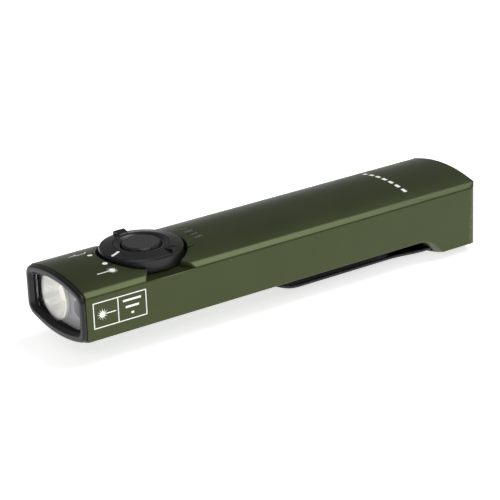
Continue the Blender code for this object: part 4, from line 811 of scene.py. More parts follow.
def grow(name, tree, values, turn=Matrix.Identity(4)):
    # the tree's result as a plain mesh, put in place
    obj = addObject(name, bpy.data.meshes.new(name))
    step = obj.modifiers.new("grow", "NODES")
    step.node_group = tree
    for item in tree.interface.items_tree:
        if item.item_type == "SOCKET" and item.in_out == "INPUT" and item.name in values:
            step[item.identifier] = values[item.name]
    settle(obj)
    obj.data.transform(turn)
    return obj


def joined(name, pieces):
    # several meshes as one piece
    bm = bmesh.new()
    for piece in pieces:
        bm.from_mesh(piece.data)
        bpy.data.objects.remove(piece, do_unlink=True)
    return addObject(name, meshFrom(bm, name))


def drape(obj):
    # lays a flat mesh drawn at z = 0 on the crown
    for vertex in obj.data.vertices:
        vertex.co.z += topHeight(vertex.co.y)
    return obj


# Body.

def sectionAt(drop):
    sizes = bodySizes
    steps = sizes["crownSteps"]
    top = [(halfWidth, sideTop)]
    span = atan2(chamferY, sqrt(sizes["crownRadius"] ** 2 - chamferY ** 2))
    for i in range(steps + 1):
        turn = span * (1 - 2 * i / steps)
        top.append((sizes["crownRadius"] * sin(turn), crownZ - sizes["crownRadius"] * (1 - cos(turn))))
    top.append((-halfWidth, sideTop))
    lower = crownedOutline(halfWidth, crownZ, bellyZ, sizes["bellyRound"], 10, steps)
    lower = lower[len(lower) // 2:]
    return top + [(y, z - drop) for y, z in lower]


def heelDrop(x):
    start = tailX - bodySizes["heelLength"]
    fillet = bodySizes["heelFillet"]
    ramp = bodySizes["heelRamp"]
    if x <= start:
        return 0.0
    if x < start + fillet * sin(ramp):
        return fillet - sqrt(fillet ** 2 - (x - start) ** 2)
    return min(heelDropFull, fillet * (1 - cos(ramp)) + x - start - fillet * sin(ramp))


def heelCorner():
    sizes = bodySizes
    bend = sizes["heelFillet"]
    return (tailX - sizes["heelLength"] + bend * sin(sizes["heelRamp"])
            + heelDropFull - bend * (1 - cos(sizes["heelRamp"])))


cornerX = heelCorner()
cavityTop = pocketFloor - bodySizes["pocketWall"]
cavityBottom = bellyZ + bodySizes["bellyWall"]
cavityMiddle = (cavityTop + cavityBottom) / 2
screwX = cornerX + bodySizes["screwSetback"]
screwY = bodySizes["screwY"]
guideLow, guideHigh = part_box("light_guide")
barX = (guideLow.x + guideHigh.x) / 2
barMiddle = (guideLow.y + guideHigh.y) / 2


def isOutside(point):
    near = 0.03 * mm
    return (abs(point.y) > halfWidth - near or point.z > topHeight(point.y) - near
            or point.x < faceX + near or point.x > tailX - near
            or point.z < bellyZ + archDrop(bodySizes["bellyRadius"], point.y) - heelDrop(point.x) + near)


def bodyEdgeWeight(edge):
    first, second = (vertex.co for vertex in edge.verts)
    if not (isOutside(first) and isOutside(second)):
        return 0.0
    middle = (first + second) / 2
    if abs(middle.x - barX) < 2.2 * mm and abs(middle.y - barMiddle) < 5 * mm:
        return 0.2
    if middle.x > tailX - 0.01 * mm:
        return 1.0
    if (middle.x < faceX + 0.01 * mm and abs(middle.y) < halfWidth - 1.0 * mm
            and abs(middle.z - 11.6 * mm) < 5 * mm):
        return 0.4
    return 0.62


def mergeSides(obj):
    # each flat side becomes one face
    bm = bmesh.new()
    bm.from_mesh(obj.data)
    bmesh.ops.remove_doubles(bm, verts=bm.verts, dist=0.002 * mm)
    seams = [edge for edge in bm.edges if len(edge.link_faces) == 2
             and all(abs(face.normal.y) > 0.9999 for face in edge.link_faces)
             and abs(edge.verts[0].co.y) > halfWidth - 0.01 * mm and edge.calc_face_angle(0) < 0.002]
    bmesh.ops.dissolve_edges(bm, edges=seams, use_verts=False)
    bm.to_mesh(obj.data)
    bm.free()


def makeBody(sizes):
    fillet, ramp = sizes["heelFillet"], sizes["heelRamp"]
    start = tailX - sizes["heelLength"]
    count = round((start - faceX) / sizes["stationStep"])
    stations = [faceX + (start - faceX) * i / count for i in range(count)]
    stations += [start + fillet * sin(ramp * i / 12) for i in range(13)]
    last = sizes["tailStations"]
    stations += [cornerX + (tailX - cornerX) * i / last for i in range(last + 1)]
    body = skin("olive_body", [(x, sectionAt(heelDrop(x))) for x in stations])

    over = mm
    corner = sizes["tailCorner"]
    plan = [(faceX - over, -halfWidth - over), (tailX - corner, -halfWidth - over)]
    for side, begin in ((-1, -90), (1, 0)):
        for i in range(17):
            turn = radians(begin + 90 * i / 16)
            plan.append((tailX - corner + corner * cos(turn),
                         side * (halfWidth - corner) + corner * sin(turn)))
    plan += [(tailX - corner, halfWidth + over), (faceX - over, halfWidth + over)]
    cut(body, [slab("tail_trim", plan, -5 * mm, 30 * mm)], "INTERSECT")

    wall = sizes["bayWall"]
    bay = crownedOutline(halfWidth - wall, crownZ - wall, bellyZ + wall, sizes["bayCorner"])
    cavity = roundedBox(halfWidth - sizes["sideWall"], cavityBottom, cavityTop,
                        sizes["cavityCorner"], sizes["cavitySteps"])
    tools = [across("bay", bay, faceX - over, faceX + sizes["bayDepth"]),
             across("cavity", cavity, faceX + sizes["bayDepth"] - over, tailX - sizes["endWall"]),
             rod("pocket", sizes["pocketRadius"], pocketFloor, crownZ + over, (dialX, 0, 0), 128)]
    for side in (-1, 1):
        flare = (sizes["notchOuter"] - sizes["notchInner"]) / 2 / (halfWidth - sizes["notchStart"])
        reach = halfWidth + over
        mouth = sizes["notchInner"] / 2 + flare * (reach - sizes["notchStart"])
        half = sizes["notchInner"] / 2
        inner = sizes["notchStart"] - over
        outline = [(dialX - half, side * inner), (dialX - half, side * sizes["notchStart"]),
                   (dialX - mouth, side * reach), (dialX + mouth, side * reach),
                   (dialX + half, side * sizes["notchStart"]), (dialX + half, side * inner)]
        tools.append(slab(f"notch_{side + 1}", outline, pocketFloor - 0.01 * mm, crownZ + over))
    tools += [rod("hub_seat", sizes["hubSeat"], pocketFloor - sizes["hubSeatDepth"], pocketFloor + over,
                  (dialX, 0, 0)),
              rod("stem_hole", sizes["stemHole"], cavityTop - over, pocketFloor + over, (dialX, 0, 0), 32)]
    for name in ("laser_detent_magnet", "lamp_detent_magnet"):
        low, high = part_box(name)
        roof = high.z + sizes["magnetRoof"]
        tools.append(rod(name + "_pocket", sizes["magnetPocket"], cavityTop - over, roof,
                         ((low.x + high.x) / 2, (low.y + high.y) / 2, 0), 24))
    slots = []
    halfLong, halfWide = sizes["barSlot"][0] / 2, sizes["barSlot"][1] / 2
    for i in range(4):
        y = barMiddle + (i - 1.5) * sizes["barPitch"]
        outline = [(barX - halfLong, y - halfWide), (barX + halfLong, y - halfWide),
                   (barX + halfLong, y + halfWide), (barX - halfLong, y + halfWide)]
        slots.append(slab(f"bar_slot_{i}", outline, cavityTop - over, crownZ + over))
    tools.append(joined("bar_slots", slots))
    tools += [rod("port", sizes["portRadius"], tailX - sizes["portDepth"], tailX + over,
                  (0, 0, cavityMiddle), 96, True),
              rod("port_neck", sizes["neckRadius"], tailX - sizes["neckEnd"],
                  tailX - sizes["portDepth"] + over, (0, 0, cavityMiddle), 64, True)]
    rootLow = sizes["clipSlotMiddle"] - sizes["clipSlotHeight"] / 2
    rootHigh = rootLow + sizes["clipSlotHeight"]
    half = sizes["clipSlotHalf"]
    lower = [-half + 2 * half * i / 16 for i in range(17)]
    slot = [(y, rootLow + archDrop(sizes["bellyRadius"], y)) for y in lower]
    slot += [(y, rootHigh + archDrop(sizes["bellyRadius"], y)) for y in reversed(lower)]
    tools.append(across("clip_slot", slot, start + fillet * sin(ramp), cornerX + sizes["clipSlotEnd"]))
    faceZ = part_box("clip_screw_near")[0].z
    for side in (-1, 1):
        (shaft, roof), (seat, step) = sizes["screwShaft"], sizes["screwSeat"]
        profile = [(0, faceZ + roof), (shaft, faceZ + roof), (shaft, faceZ + step),
                   (seat, faceZ + step), (seat, -over), (0, -over)]
        tools.append(turned(f"screw_hole_{side + 1}", profile, (screwX, side * screwY, 0), 40))
    cut(body, tools)
    mergeSides(body)
    bevelEdges(body, sizes["tailRound"], bodyEdgeWeight)
    shade(body, "anodisedOlive", 30, True)
    return adopt(body, "body", "olive_anodised", "body_shell")


makeBody(bodySizes)
print("body ready")

# Head: bezel, plate and optic.

bezelSizes = {
    "loops": [     # from the front: depth, inset at the sides, inset at top and bottom, corner; in mm
        (0.90, 0.10, 0.20, 2.50), (0.50, 0.11, 0.23, 2.50), (0.28, 0.17, 0.31, 2.50),
        (0.13, 0.27, 0.43, 2.45), (0.04, 0.42, 0.60, 2.40), (0.00, 0.60, 0.80, 2.30),
        (0.00, 1.22, 1.46, 1.85), (0.03, 1.36, 1.60, 1.70),
        (0.11, 1.46, 1.70, 1.62), (0.90, 2.05, 2.29, 1.60)],
}
plateSizes = {
    "bore": 5.11 * mm,
    "portRadius": 2.1 * mm,
    "laserY": -5.2 * mm,
    "laserDrop": 0.5 * mm,
    "edgeRound": 0.12 * mm,
    "pinY": -7.2 * mm,
    "pinDrop": 1.9 * mm,
    "pinRadius": 0.42 * mm,
    "pinProud": 0.12 * mm,
    "pinFoot": 0.1 * mm,
    "pinRound": 0.08 * mm,
    "corner": 1.9 * mm,
    "shadeSleeveGap": 0.02 * mm,
    "shadeSleeveWall": 0.2 * mm,
}
opticSizes = {
    "lampY": 4.0 * mm,
    "flutes": 18,
    "fluteDepth": 0.02,
    "rimRadius": 5.55 * mm,
    "mouthRadius": 5.05 * mm,
    "throatRadius": 1.75 * mm,
    "depth": 5.4 * mm,
    "wall": 0.18 * mm,
    "lensRadius": 2.4 * mm,
    "lensAhead": 1.5 * mm,
}
axisZ = (bellyZ + crownZ) / 2


def makeBezel(sizes):
    loops = []
    for depth, side, cap, corner in sizes["loops"]:
        loops.append((bezelLow.x + depth * mm, crownedOutline(
            halfWidth - side * mm, crownZ - cap * mm, bellyZ + cap * mm, corner * mm, 12, 32)))
    bezel = skin("bezel_rim", loops, closed=True)
    shade(bezel, "anodisedBlack", 40, True)
    return adopt(bezel, "body", "black_anodised", "front_bezel")


def makePlate(sizes):
    half, low, high = plateHigh.y, plateLow.z, plateHigh.z
    plate = across("optics_plate", crownedOutline(half, high, low, sizes["corner"]), plateLow.x, plateHigh.x)
    laserZ = axisZ - sizes["laserDrop"]
    near, far = plateLow.x - mm, plateHigh.x + mm
    cut(plate, [rod("bore", sizes["bore"], near, far, (0, opticSizes["lampY"], axisZ), 96, True),
                rod("port", sizes["portRadius"], near, far, (0, sizes["laserY"], laserZ), 64, True)])
    bevelEdges(plate, sizes["edgeRound"], lambda edge: 1.0)
    tip, foot = plateLow.x - sizes["pinProud"], plateLow.x + sizes["pinFoot"]
    pin = turned("pin", softened([(0, tip), (sizes["pinRadius"], tip), (sizes["pinRadius"], foot), (0, foot)],
                                 sizes["pinRound"], closed=False),
                 (0, sizes["pinY"], axisZ - sizes["pinDrop"]), 24, True)
    plate = joined("optics_plate", [plate, pin])
    shade(plate, "satinPlate", 35, True)
    return adopt(plate, "body", "satin_grey", "optic_plate")


def makeShadeSleeve(sizes):
    # dark sleeve lining the bay between the glass and the plate: painted shade, put where the bay's own olive
    # wall falls in shadow
    half, low, high = plateHigh.y, plateLow.z, plateHigh.z
    front, back, wall = glassBack + sizes["shadeSleeveGap"], plateLow.x - sizes["shadeSleeveGap"], sizes["shadeSleeveWall"]
    corner = sizes["corner"]
    outer = crownedOutline(half, high, low, corner)
    inner = crownedOutline(half - wall, high - wall, low + wall, corner - wall)
    shadeSleeve = skin("bay_shade_sleeve", [(front, outer), (back, outer), (back, inner), (front, inner)], closed=True)
    shade(shadeSleeve, "anodisedBlack", 35)
    return adopt(shadeSleeve, "body", "black_anodised")


def makeOptic(sizes):
    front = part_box("tir_optic")[0].x
    steps = sizes["flutes"] * 8
    inner, outer = [], []
    for i in range(15):
        t = i / 14
        x = front + 0.25 * mm + sizes["depth"] * t
        r = sizes["throatRadius"] + (sizes["mouthRadius"] - sizes["throatRadius"]) * sqrt(1 - t) ** 1.15
        inner.append((x, r, sizes["fluteDepth"] * min(1, 4 * t) * (1 if t < 1 else 0)))
        outer.append((x, r + sizes["wall"], 0))
    loops = [(front + 0.25 * mm, sizes["rimRadius"], 0), (front + 0.85 * mm, sizes["rimRadius"], 0),
             (front + 0.85 * mm, sizes["mouthRadius"] + sizes["wall"] * 0.6, 0)] + outer[3:] + inner[::-1]
    bm = bmesh.new()
    rings = []
    for x, r, depth in loops:
        ring = []
        for i in range(steps):
            turn = 2 * pi * i / steps
            bulge = 1 - depth * abs(cos(turn * sizes["flutes"] / 2))
            reach = r * bulge
            ring.append(bm.verts.new((x, sizes["lampY"] + reach * cos(turn), axisZ + reach * sin(turn))))
        rings.append(ring)
    for near, far in zip(rings, rings[1:] + rings[:1]):
        for i in range(steps):
            j = (i + 1) % steps
            bm.faces.new((near[i], near[j], far[j], far[i]))
    bmesh.ops.recalc_face_normals(bm, faces=bm.faces)
    bowl = addObject("lamp_bowl", meshFrom(bm, "lamp_bowl"))
    shade(bowl, "reflector", 28)
    adopt(bowl, "body", "clear_acrylic", "tir_optic")

    radius, ahead = sizes["lensRadius"], sizes["lensAhead"]
    turns = [radians(9 * i) for i in range(1, 11)]
    dome = [(0, 0)] + [(radius * sin(turn), ahead * (1 - cos(turn))) for turn in turns]
    dome += [(radius, ahead + 0.7 * mm), (0, ahead + 0.7 * mm)]
    lens = turned("lamp_lens", dome, (front + 2.2 * mm, sizes["lampY"], axisZ), 48, True)
    shade(lens, "glowingLens", 35)
    adopt(lens, "body", "clear_acrylic")


makeBezel(bezelSizes)
makePlate(plateSizes)
makeShadeSleeve(plateSizes)
makeOptic(opticSizes)
print("head ready")


# Selector dial and button.

dialSizes = {
    "radius": 9.57 * mm,
    "edgeAbove": 0.69 * mm,         # ring's outer edge above the crown
    "rise": 0.65 * mm,
    "bevelRun": 0.24 * mm,
    "bevelDrop": 0.44 * mm,
    "softRound": 0.05 * mm,
    "counterbore": 6.4 * mm,
    "bore": 5.8 * mm,
    "rabbet": 7.1 * mm,
    "rabbetTop": 1.15 * mm,         # above the pocket's floor
    "clearance": 0.3 * mm,
    "shelfDrop": 1.4 * mm,
    "magnetPocket": 0.95 * mm,
    "hub": 6.28 * mm,
    "hubFlange": 1.1 * mm,
    "hubSleeve": 5.5 * mm,
    "hubLowerBore": 5.05 * mm,
    "hubShoulder": 2.0 * mm,
    "hubBore": 4.75 * mm,
    "hubDish": ((0.0, 0.6), (0.45, 0.52), (1.0, 0.12)),     # out from the bore, below the rim; in mm
    "tabWidth": 2.9 * mm,
    "tabToeWidth": 2.3 * mm,
    "tabHeight": 0.95 * mm,
    "tabToe": 6.7 * mm,
    "tabCrest": 9.05 * mm,
    "tabEnd": 9.42 * mm,
    "tabRound": 0.10 * mm,
    "tabSpread": 102.5,
    "indexAngle": 194,
    "ridges": 4,
    "ridgePitch": 0.5 * mm,
    "ridgeWidth": 0.2 * mm,
    "ridgeHeight": 0.16 * mm,
    "indexInner": 6.9 * mm,
    "indexOuter": 9.15 * mm,
    "indexWidth": 0.62 * mm,
}
buttonSizes = {
    "radius": 4.45 * mm,
    "faceRadius": 4.1 * mm,
    "facetDrop": 0.6 * mm,
    "facets": 10,
    "facetTurn": 4,
    "flange": 4.9 * mm,
    "flangeRise": 1.2 * mm,
    "flangeThick": 0.5 * mm,
    "thick": 1.2 * mm,
    "skirt": 0.6 * mm,
    "stem": 1.4 * mm,
    "edgeRound": 0.07 * mm,
    "proud": 0.1 * mm,
}
edgeZ = crownZ + dialSizes["edgeAbove"]
hubTop = edgeZ + dialSizes["rise"]
buttonTop = hubTop + buttonSizes["proud"]
coneSlope = dialSizes["rise"] / (dialSizes["radius"] - dialSizes["counterbore"])


def coneHeight(radius):
    return edgeZ + coneSlope * (dialSizes["radius"] - radius)


def aroundDial(angle):
    # local X outward, Y along the ring, Z up
    return Matrix.Translation((dialX, 0, 0)) @ Matrix.Rotation(radians(angle), 4, "Z")


def makeTab(name, sizes, angle):
    # a wedge that widens outward, sunk into the ring
    toe, crest, end, top = sizes["tabToe"], sizes["tabCrest"], sizes["tabEnd"], edgeZ + sizes["tabHeight"]
    foot = edgeZ - 0.7 * mm
    sections = []
    for r, z in ((toe, coneHeight(toe) - 0.1 * mm), (toe + 0.25 * mm, coneHeight(toe) + 0.12 * mm),
                 (crest, top), (end, top - 0.35 * mm)):
        share = (r - toe) / (end - toe)
        half = (sizes["tabToeWidth"] + share * (sizes["tabWidth"] - sizes["tabToeWidth"])) / 2
        sections.append((r, [(half, foot), (half, z), (-half, z), (-half, foot)]))
    tab = skin(name, sections)
    tab.data.transform(aroundDial(angle))
    return tab


def makeRing(sizes):
    bottom = pocketFloor + sizes["clearance"]
    lip = sizes["radius"] - sizes["bevelRun"]
    shelf = hubTop - sizes["shelfDrop"]
    rabbetTop = pocketFloor + sizes["rabbetTop"]
    profile = [(lip, coneHeight(lip)), (sizes["radius"], edgeZ - sizes["bevelDrop"]),
               (sizes["radius"], bottom), (sizes["rabbet"], bottom), (sizes["rabbet"], rabbetTop),
               (sizes["bore"], rabbetTop), (sizes["bore"], shelf),
               (sizes["counterbore"], shelf), (sizes["counterbore"], hubTop)]
    ring = turned("dial_ring", softened(profile, sizes["softRound"]), (dialX, 0, 0), 144, closed=True)
    sides = (-sizes["tabSpread"], sizes["tabSpread"])
    tabs = [makeTab("finger_tab", sizes, sizes["indexAngle"] + side) for side in sides]
    for tab in tabs:
        bevelEdges(tab, sizes["tabRound"], lambda edge: 1.0, radians(25), 2)
    cut(ring, tabs, "UNION")
    low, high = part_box("ring_magnet")
    cut(ring, [rod("magnet_pocket", sizes["magnetPocket"], bottom - mm, high.z + sizes["clearance"],
                   ((low.x + high.x) / 2, (low.y + high.y) / 2, 0), 24)])
    shade(ring, "ringBlack", 30, True)
    adopt(ring, "selector", "black_anodised", "selector_ring")

    toe = sizes["tabToe"] + 0.25 * mm
    toeZ, run = coneHeight(sizes["tabToe"]) + 0.12 * mm, sizes["tabCrest"] - toe
    lean = atan2(edgeZ + sizes["tabHeight"] - toeZ, run)
    pieces = []
    for side in sides:
        middle = Matrix.Translation((toe + run / 2, 0, (toeZ + edgeZ + sizes["tabHeight"]) / 2))
        start = Matrix.Translation((-(sizes["ridges"] - 1) * sizes["ridgePitch"] / 2, 0, 0))
        turn = (aroundDial(sizes["indexAngle"] + side) @ middle @ Matrix.Rotation(-lean, 4, "Y")
                @ Matrix.Rotation(radians(90), 4, "Z") @ start)
        pieces.append(grow("ridges", blockRow, {
            "Count": sizes["ridges"], "Pitch": sizes["ridgePitch"], "Material": looks["ringBlack"],
            "Block": (sizes["ridgeWidth"], run - 0.2 * mm, sizes["ridgeHeight"])}, turn))
    ridges = joined("tab_ridges", pieces)
    bevelEdges(ridges, 0.04 * mm, lambda edge: 1.0, radians(30), 2)
    shade(ridges, "ringBlack", 40)
    adopt(ridges, "selector", "black_anodised")

    length = sizes["indexOuter"] - sizes["indexInner"]
    middle = (sizes["indexOuter"] + sizes["indexInner"]) / 2
    turn = (aroundDial(sizes["indexAngle"]) @ Matrix.Translation((middle, 0, coneHeight(middle)))
            @ Matrix.Rotation(atan2(coneSlope, 1), 4, "Y"))
    index = grow("index_line", blockRow, {"Count": 1, "Material": looks["markPaint"],
                                          "Block": (length, sizes["indexWidth"], 0.05 * mm)}, turn)
    shade(index, "markPaint")
    adopt(index, "selector", "black_anodised")


def makeHub(sizes):
    low = hubLow.z
    under, shoulder, bore = hubTop - sizes["hubFlange"], pocketFloor + sizes["hubShoulder"], sizes["hubBore"]
    profile = [(sizes["hub"], hubTop), (sizes["hub"], under), (sizes["hubSleeve"], under),
               (sizes["hubSleeve"], low), (sizes["hubLowerBore"], low), (sizes["hubLowerBore"], shoulder),
               (bore, shoulder)]
    profile += [(bore + out * mm, hubTop - drop * mm) for out, drop in sizes["hubDish"]]
    hub = turned("dial_hub_cap", softened(profile, sizes["softRound"]), (dialX, 0, 0), 128, closed=True)
    shade(hub, "ringBlack", 30, True)
    adopt(hub, "body", "black_anodised", "dial_hub")


def makeButton(sizes):
    radius, flange = sizes["radius"], sizes["flange"]
    low = buttonLow.z
    flangeLow = pocketFloor + sizes["flangeRise"]
    flangeTop, roof = flangeLow + sizes["flangeThick"], buttonTop - sizes["thick"]
    inside, stem = radius - sizes["skirt"], sizes["stem"]
    profile = [(0, buttonTop), (radius, buttonTop), (radius, flangeTop), (flange, flangeTop),
               (flange, flangeLow), (inside, flangeLow), (inside, roof), (stem, roof), (stem, low), (0, low)]
    cap = turned("push_button", profile, (dialX, 0, 0), 120)
    shoulder = buttonTop - sizes["facetDrop"]
    lean = (radius - sizes["faceRadius"]) / sizes["facetDrop"]
    base = radius / cos(pi / sizes["facets"])
    above = sizes["facetDrop"] + mm
    envelope = turned("facets", [(0, shoulder + above), (base - lean * above, shoulder + above),
                                 (base, shoulder),
                                 (flange + mm, shoulder), (flange + mm, low - mm), (0, low - mm)],
                      (0, 0, 0), sizes["facets"])
    envelope.data.transform(aroundDial(dialSizes["indexAngle"] + sizes["facetTurn"]))
    cut(cap, [envelope], "INTERSECT")
    bevelEdges(cap, sizes["edgeRound"], lambda edge: 1.0, radians(9), 2)
    shade(cap, "buttonBlack", 25, True)
    adopt(cap, "button", "black_button", "button_cap")


makeRing(dialSizes)
makeHub(dialSizes)
makeButton(buttonSizes)
print("dial and button ready")


# Printed marks.

markSizes = {
    "dotRadius": 0.6 * mm,
    "discSteps": 32,
    "dots": ((-43.49 * mm, 3.55 * mm), (-43.45 * mm, -2.87 * mm)),
    "burst": (-43.72 * mm, -6.35 * mm),
    "burstCore": 0.66 * mm,
    "burstRays": 12,
    "beamEnd": -47.49 * mm,
    "beamWidth": 0.26 * mm,
    "thick": 0.03 * mm,
    "panelLow": (-52.47 * mm, 9.06 * mm),
    "panelHigh": (-39.19 * mm, 14.89 * mm),
    "panelLine": 0.24 * mm,
    "panelDivide": -46.31 * mm,
    "panelBars": ((1.3, 4.6), (2.85, 3.4), (4.4, 0.7)),     # down from the top, length; in mm
    "panelBarWidth": 0.5 * mm,
    "panelSun": 0.72 * mm,
    "panelSunX": -50.3 * mm,
    "panelBeam": 3.4 * mm,
    "rearX": 36.6 * mm,
    "rearStart": -7.4 * mm,
    "rearPitch": 2.5 * mm,
    "rearCount": 7,
    "rearBlock": (1.5 * mm, 0.9 * mm),
    "lampLines": (((-47.5, 6.3), (-45.6, 6.3)), ((-45.6, 5.9), (-43.4, 6.1)), ((-43.4, 6.1), (-42.7, 7.0)),
                  ((-45.6, 5.9), (-45.6, 7.2))),            # in mm
    "lampWidth": 0.24 * mm,
}


def flatDisc(name, radius, centre, thick):
    return rod(name, radius, -thick / 2, thick / 2, (centre[0], centre[1], 0), markSizes["discSteps"])


def flatBar(start, end, width, thick):
    run = Vector(end) - Vector(start)
    turn = (Matrix.Translation(((start[0] + end[0]) / 2, (start[1] + end[1]) / 2, 0))
            @ Matrix.Rotation(atan2(run.y, run.x), 4, "Z"))
    return grow("bar", blockRow, {"Count": 1, "Block": (run.length, width, thick),
                                  "Material": looks["markPaint"]}, turn)


def burstPieces(centre, core, rays, thick):
    return grow("burst", rayBurst, {"Rays": rays, "Core Radius": core, "Ray Length": 2.0 * core,
                                    "Ray Width": 0.36 * core, "Thickness": thick,
                                    "Material": looks["markPaint"]},
                Matrix.Translation((centre[0], centre[1], 0)))


def makeMarks(sizes):
    thick = sizes["thick"]
    crown = [flatDisc("dot", sizes["dotRadius"], centre, thick) for centre in sizes["dots"]]
    crown.append(burstPieces(sizes["burst"], sizes["burstCore"], sizes["burstRays"], thick))
    crown.append(flatBar(sizes["burst"], (sizes["beamEnd"], sizes["burst"][1]), sizes["beamWidth"], thick))
    for start, end in sizes["lampLines"]:
        crown.append(flatBar([part * mm for part in start], [part * mm for part in end],
                             sizes["lampWidth"], thick))
    row = (Matrix.Translation((sizes["rearX"], sizes["rearStart"], 0)) @ Matrix.Rotation(radians(90), 4, "Z"))
    crown.append(grow("rear_row", blockRow, {
        "Count": sizes["rearCount"], "Pitch": sizes["rearPitch"], "Material": looks["markPaint"],
        "Block": (*sizes["rearBlock"], thick)}, row))
    marks = drape(joined("crown_marks", crown))
    shade(marks, "markPaint")
    adopt(marks, "body", "olive_anodised")

    (left, low), (right, high), line = sizes["panelLow"], sizes["panelHigh"], sizes["panelLine"]
    panel = [flatBar((left, low), (right, low), line, thick),
             flatBar((left, high), (right, high), line, thick),
             flatBar((left, low - line / 2), (left, high + line / 2), line, thick),
             flatBar((right, low - line / 2), (right, high + line / 2), line, thick),
             flatBar((sizes["panelDivide"], low), (sizes["panelDivide"], high), line, thick)]
    middle = (low + high) / 2
    sun = (sizes["panelSunX"], middle)
    panel.append(burstPieces(sun, sizes["panelSun"], sizes["burstRays"], thick))
    panel.append(flatBar(sun, (sun[0] + sizes["panelBeam"], middle), line, thick))
    for down, long in sizes["panelBars"]:
        z = high - down * mm
        centre = (sizes["panelDivide"] + right) / 2
        panel.append(flatBar((centre - long / 2 * mm, z), (centre + long / 2 * mm, z),
                             sizes["panelBarWidth"], thick))
    side = joined("side_panel", panel)
    side.data.transform(Matrix.Translation((0, -halfWidth, 0)) @ Matrix.Rotation(radians(90), 4, "X"))
    shade(side, "markPaint")
    adopt(side, "body", "olive_anodised")


makeMarks(markSizes)
print("marks ready")


# Pocket clip and screws.

clipSizes = {
    "thickness": 0.9 * mm,
    "width": 18.0 * mm,
    "tipLength": 5.7 * mm,
    "tipRadius": 11.5 * mm,
    "planCorner": 4.0 * mm,
    "bladeZ": 1.93 * mm,
    "rootSink": 0.62 * mm,
    "bendLength": 11.0 * mm,
    "bendGap": 2.5 * mm,
    "noseLength": 0.35 * mm,
    "steps": 20,
    "screwHole": 1.1 * mm,
}
screwSizes = {
    "headRadius": 1.7 * mm,
    "headEdge": 0.12 * mm,
    "headHeight": 0.45 * mm,
    "radius": 0.8 * mm,
    "length": 4.2 * mm,
    "socket": 0.65 * mm,
    "socketDepth": 0.6 * mm,
    "threadPitch": 0.4 * mm,
}


def clipHeight(x, sizes):
    if x < clipLow.x + sizes["tipLength"]:
        return sizes["bladeZ"] + archDrop(sizes["tipRadius"], clipLow.x + sizes["tipLength"] - x)
    start = cornerX - sizes["bendGap"] - sizes["bendLength"]
    share = min(max((x - start) / sizes["bendLength"], 0), 1)
    return sizes["bladeZ"] - sizes["rootSink"] * (3 * share ** 2 - 2 * share ** 3)


def clipHalf(x, sizes):
    left = sizes["planCorner"] - (x - clipLow.x)
    if left <= 0:
        return sizes["width"] / 2
    return sizes["width"] / 2 - sizes["planCorner"] + sqrt(max(sizes["planCorner"] ** 2 - left ** 2, 0))


def clipSection(x, sizes):
    # a strip that follows the belly's arch, with round edges, thinned to a soft nose at the tip
    nose = min(1.0, 0.35 + 0.65 * sqrt(min(1.0, (x - clipLow.x) / sizes["noseLength"])))
    half, thick = clipHalf(x, sizes), sizes["thickness"] / 2 * nose
    middle = clipHeight(x, sizes)
    outline = []
    for side in (-1, 1):
        for j in range(sizes["steps"] + 1):
            y = -side * (half - thick) * (1 - 2 * j / sizes["steps"])
            outline.append((y, middle + side * thick + archDrop(bodySizes["bellyRadius"], y)))
        for k in range(1, 6):
            turn = radians(30 * k)
            y = side * (half - thick + thick * sin(turn))
            outline.append((y, middle - side * thick * -cos(turn) + archDrop(bodySizes["bellyRadius"], y)))
    return outline


def makeClip(sizes):
    corner = sizes["planCorner"]
    stations = [clipLow.x + corner * (1 - cos(radians(7.5 * i))) for i in range(13)]
    stations += [clipLow.x + sizes["tipLength"]]
    start = cornerX - sizes["bendGap"] - sizes["bendLength"]
    stations += [stations[-1] + (start - stations[-1]) * i / 12 for i in range(1, 12)]
    stations += [start + sizes["bendLength"] * i / 16 for i in range(17)] + [clipHigh.x]
    sections = [(x, clipSection(x, sizes)) for x in stations]
    clip = skin("spring_clip", sections)
    cut(clip, [rod(f"hole_{side + 1}", sizes["screwHole"], -mm, 5 * mm, (screwX, side * screwY, 0), 32)
               for side in (-1, 1)])
    shade(clip, "clipCoat", 35, True)
    adopt(clip, "clip", "clip_black", "pocket_clip")


def makeScrews(sizes):
    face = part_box("clip_screw_near")[0].z
    pieces = []
    for side in (-1, 1):
        neck = face + sizes["headHeight"]
        head, edge = sizes["headRadius"], sizes["headEdge"]
        profile = [(0, face), (head - edge, face), (head, face + edge),
                   (sizes["headRadius"], neck), (sizes["radius"], neck)]
        count = int((sizes["length"] - sizes["headHeight"] - 0.2 * mm) / sizes["threadPitch"])
        for i in range(count):
            z = neck + 0.1 * mm + sizes["threadPitch"] * i
            profile += [(sizes["radius"] - 0.12 * mm, z + sizes["threadPitch"] / 2),
                        (sizes["radius"], z + sizes["threadPitch"])]
        profile += [(sizes["radius"] - 0.25 * mm, face + sizes["length"]), (0, face + sizes["length"])]
        screw = turned(f"screw_{side + 1}", profile, (screwX, side * screwY, 0), 40)
        cut(screw, [rod("socket", sizes["socket"], face - mm, face + sizes["socketDepth"],
                        (screwX, side * screwY, 0), 6)])
        pieces.append(screw)
    screws = joined("clip_screws", pieces)
    shade(screws, "screwOxide", 30)
    adopt(screws, "body", "screw_black", "clip_screw_near", "clip_screw_far")


makeClip(clipSizes)
makeScrews(screwSizes)
print("clip and screws ready")


# Charging port.

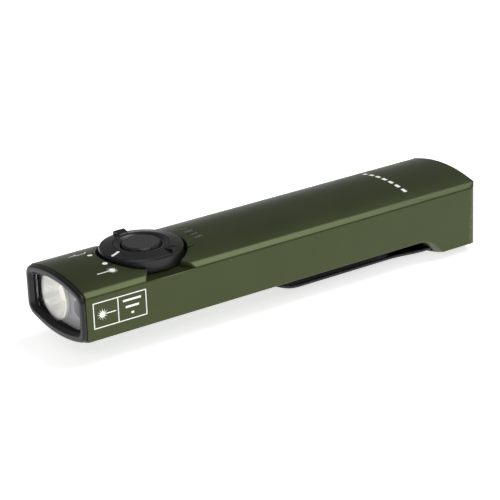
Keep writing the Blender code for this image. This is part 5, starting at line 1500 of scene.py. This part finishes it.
portSizes = {
    "radius": 5.7 * mm,
    "neck": 3.9 * mm,
    "pinHole": 1.6 * mm,
    "pin": 1.3 * mm,
    "ringInner": 3.7 * mm,
    "ringOuter": 4.9 * mm,
    "ringDepth": 0.95 * mm,
    "gap": 0.3 * mm,
    "softRound": 0.12 * mm,
    "depth": 4.0 * mm,
    "groove": 1.4 * mm,
    "grooveHalf": 0.55 * mm,
    "grooveFloor": 4.6 * mm,
    "pinRound": 0.25 * mm,
}


def makePort(sizes):
    centre = (0, 0, (portLow.z + portHigh.z) / 2)
    face, gap = portHigh.x, sizes["gap"]
    shoulder, neckEnd = tailX - sizes["depth"], portLow.x
    inner, outer = sizes["ringInner"] - gap, sizes["ringOuter"] + gap
    floor = face - sizes["ringDepth"] - gap
    groove, slotHalf, slotFloor = shoulder + sizes["groove"], sizes["grooveHalf"], sizes["grooveFloor"]
    profile = [(sizes["pinHole"], face), (inner, face), (inner, floor), (outer, floor), (outer, face),
               (sizes["radius"], face), (sizes["radius"], groove + slotHalf), (slotFloor, groove + slotHalf),
               (slotFloor, groove - slotHalf), (sizes["radius"], groove - slotHalf),
               (sizes["radius"], shoulder),
               (sizes["neck"], shoulder), (sizes["neck"], neckEnd), (sizes["pinHole"], neckEnd)]
    insulator = turned("port_insulator", softened(profile, sizes["softRound"]), centre, 112, True, True)
    shade(insulator, "blackPlastic", 30)
    adopt(insulator, "body", "black_plastic", "charge_insulator")
    low = face - sizes["ringDepth"]
    contact = turned("port_ring", softened([(sizes["ringInner"], low), (sizes["ringOuter"], low),
                                            (sizes["ringOuter"], face), (sizes["ringInner"], face)],
                                           sizes["softRound"]), centre, 112, True, True)
    shade(contact, "goldPlate", 30)
    adopt(contact, "body", "gold_plate", "charge_ring_contact")
    pinLow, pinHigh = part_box("charge_pin_contact")
    pin = turned("port_pin", softened([(0, pinLow.x), (sizes["pin"], pinLow.x), (sizes["pin"], pinHigh.x),
                                       (0, pinHigh.x)], sizes["pinRound"], closed=False), centre, 64, True)
    shade(pin, "goldPlate", 30)
    adopt(pin, "body", "gold_plate", "charge_pin_contact")


makePort(portSizes)
print("charging port ready")
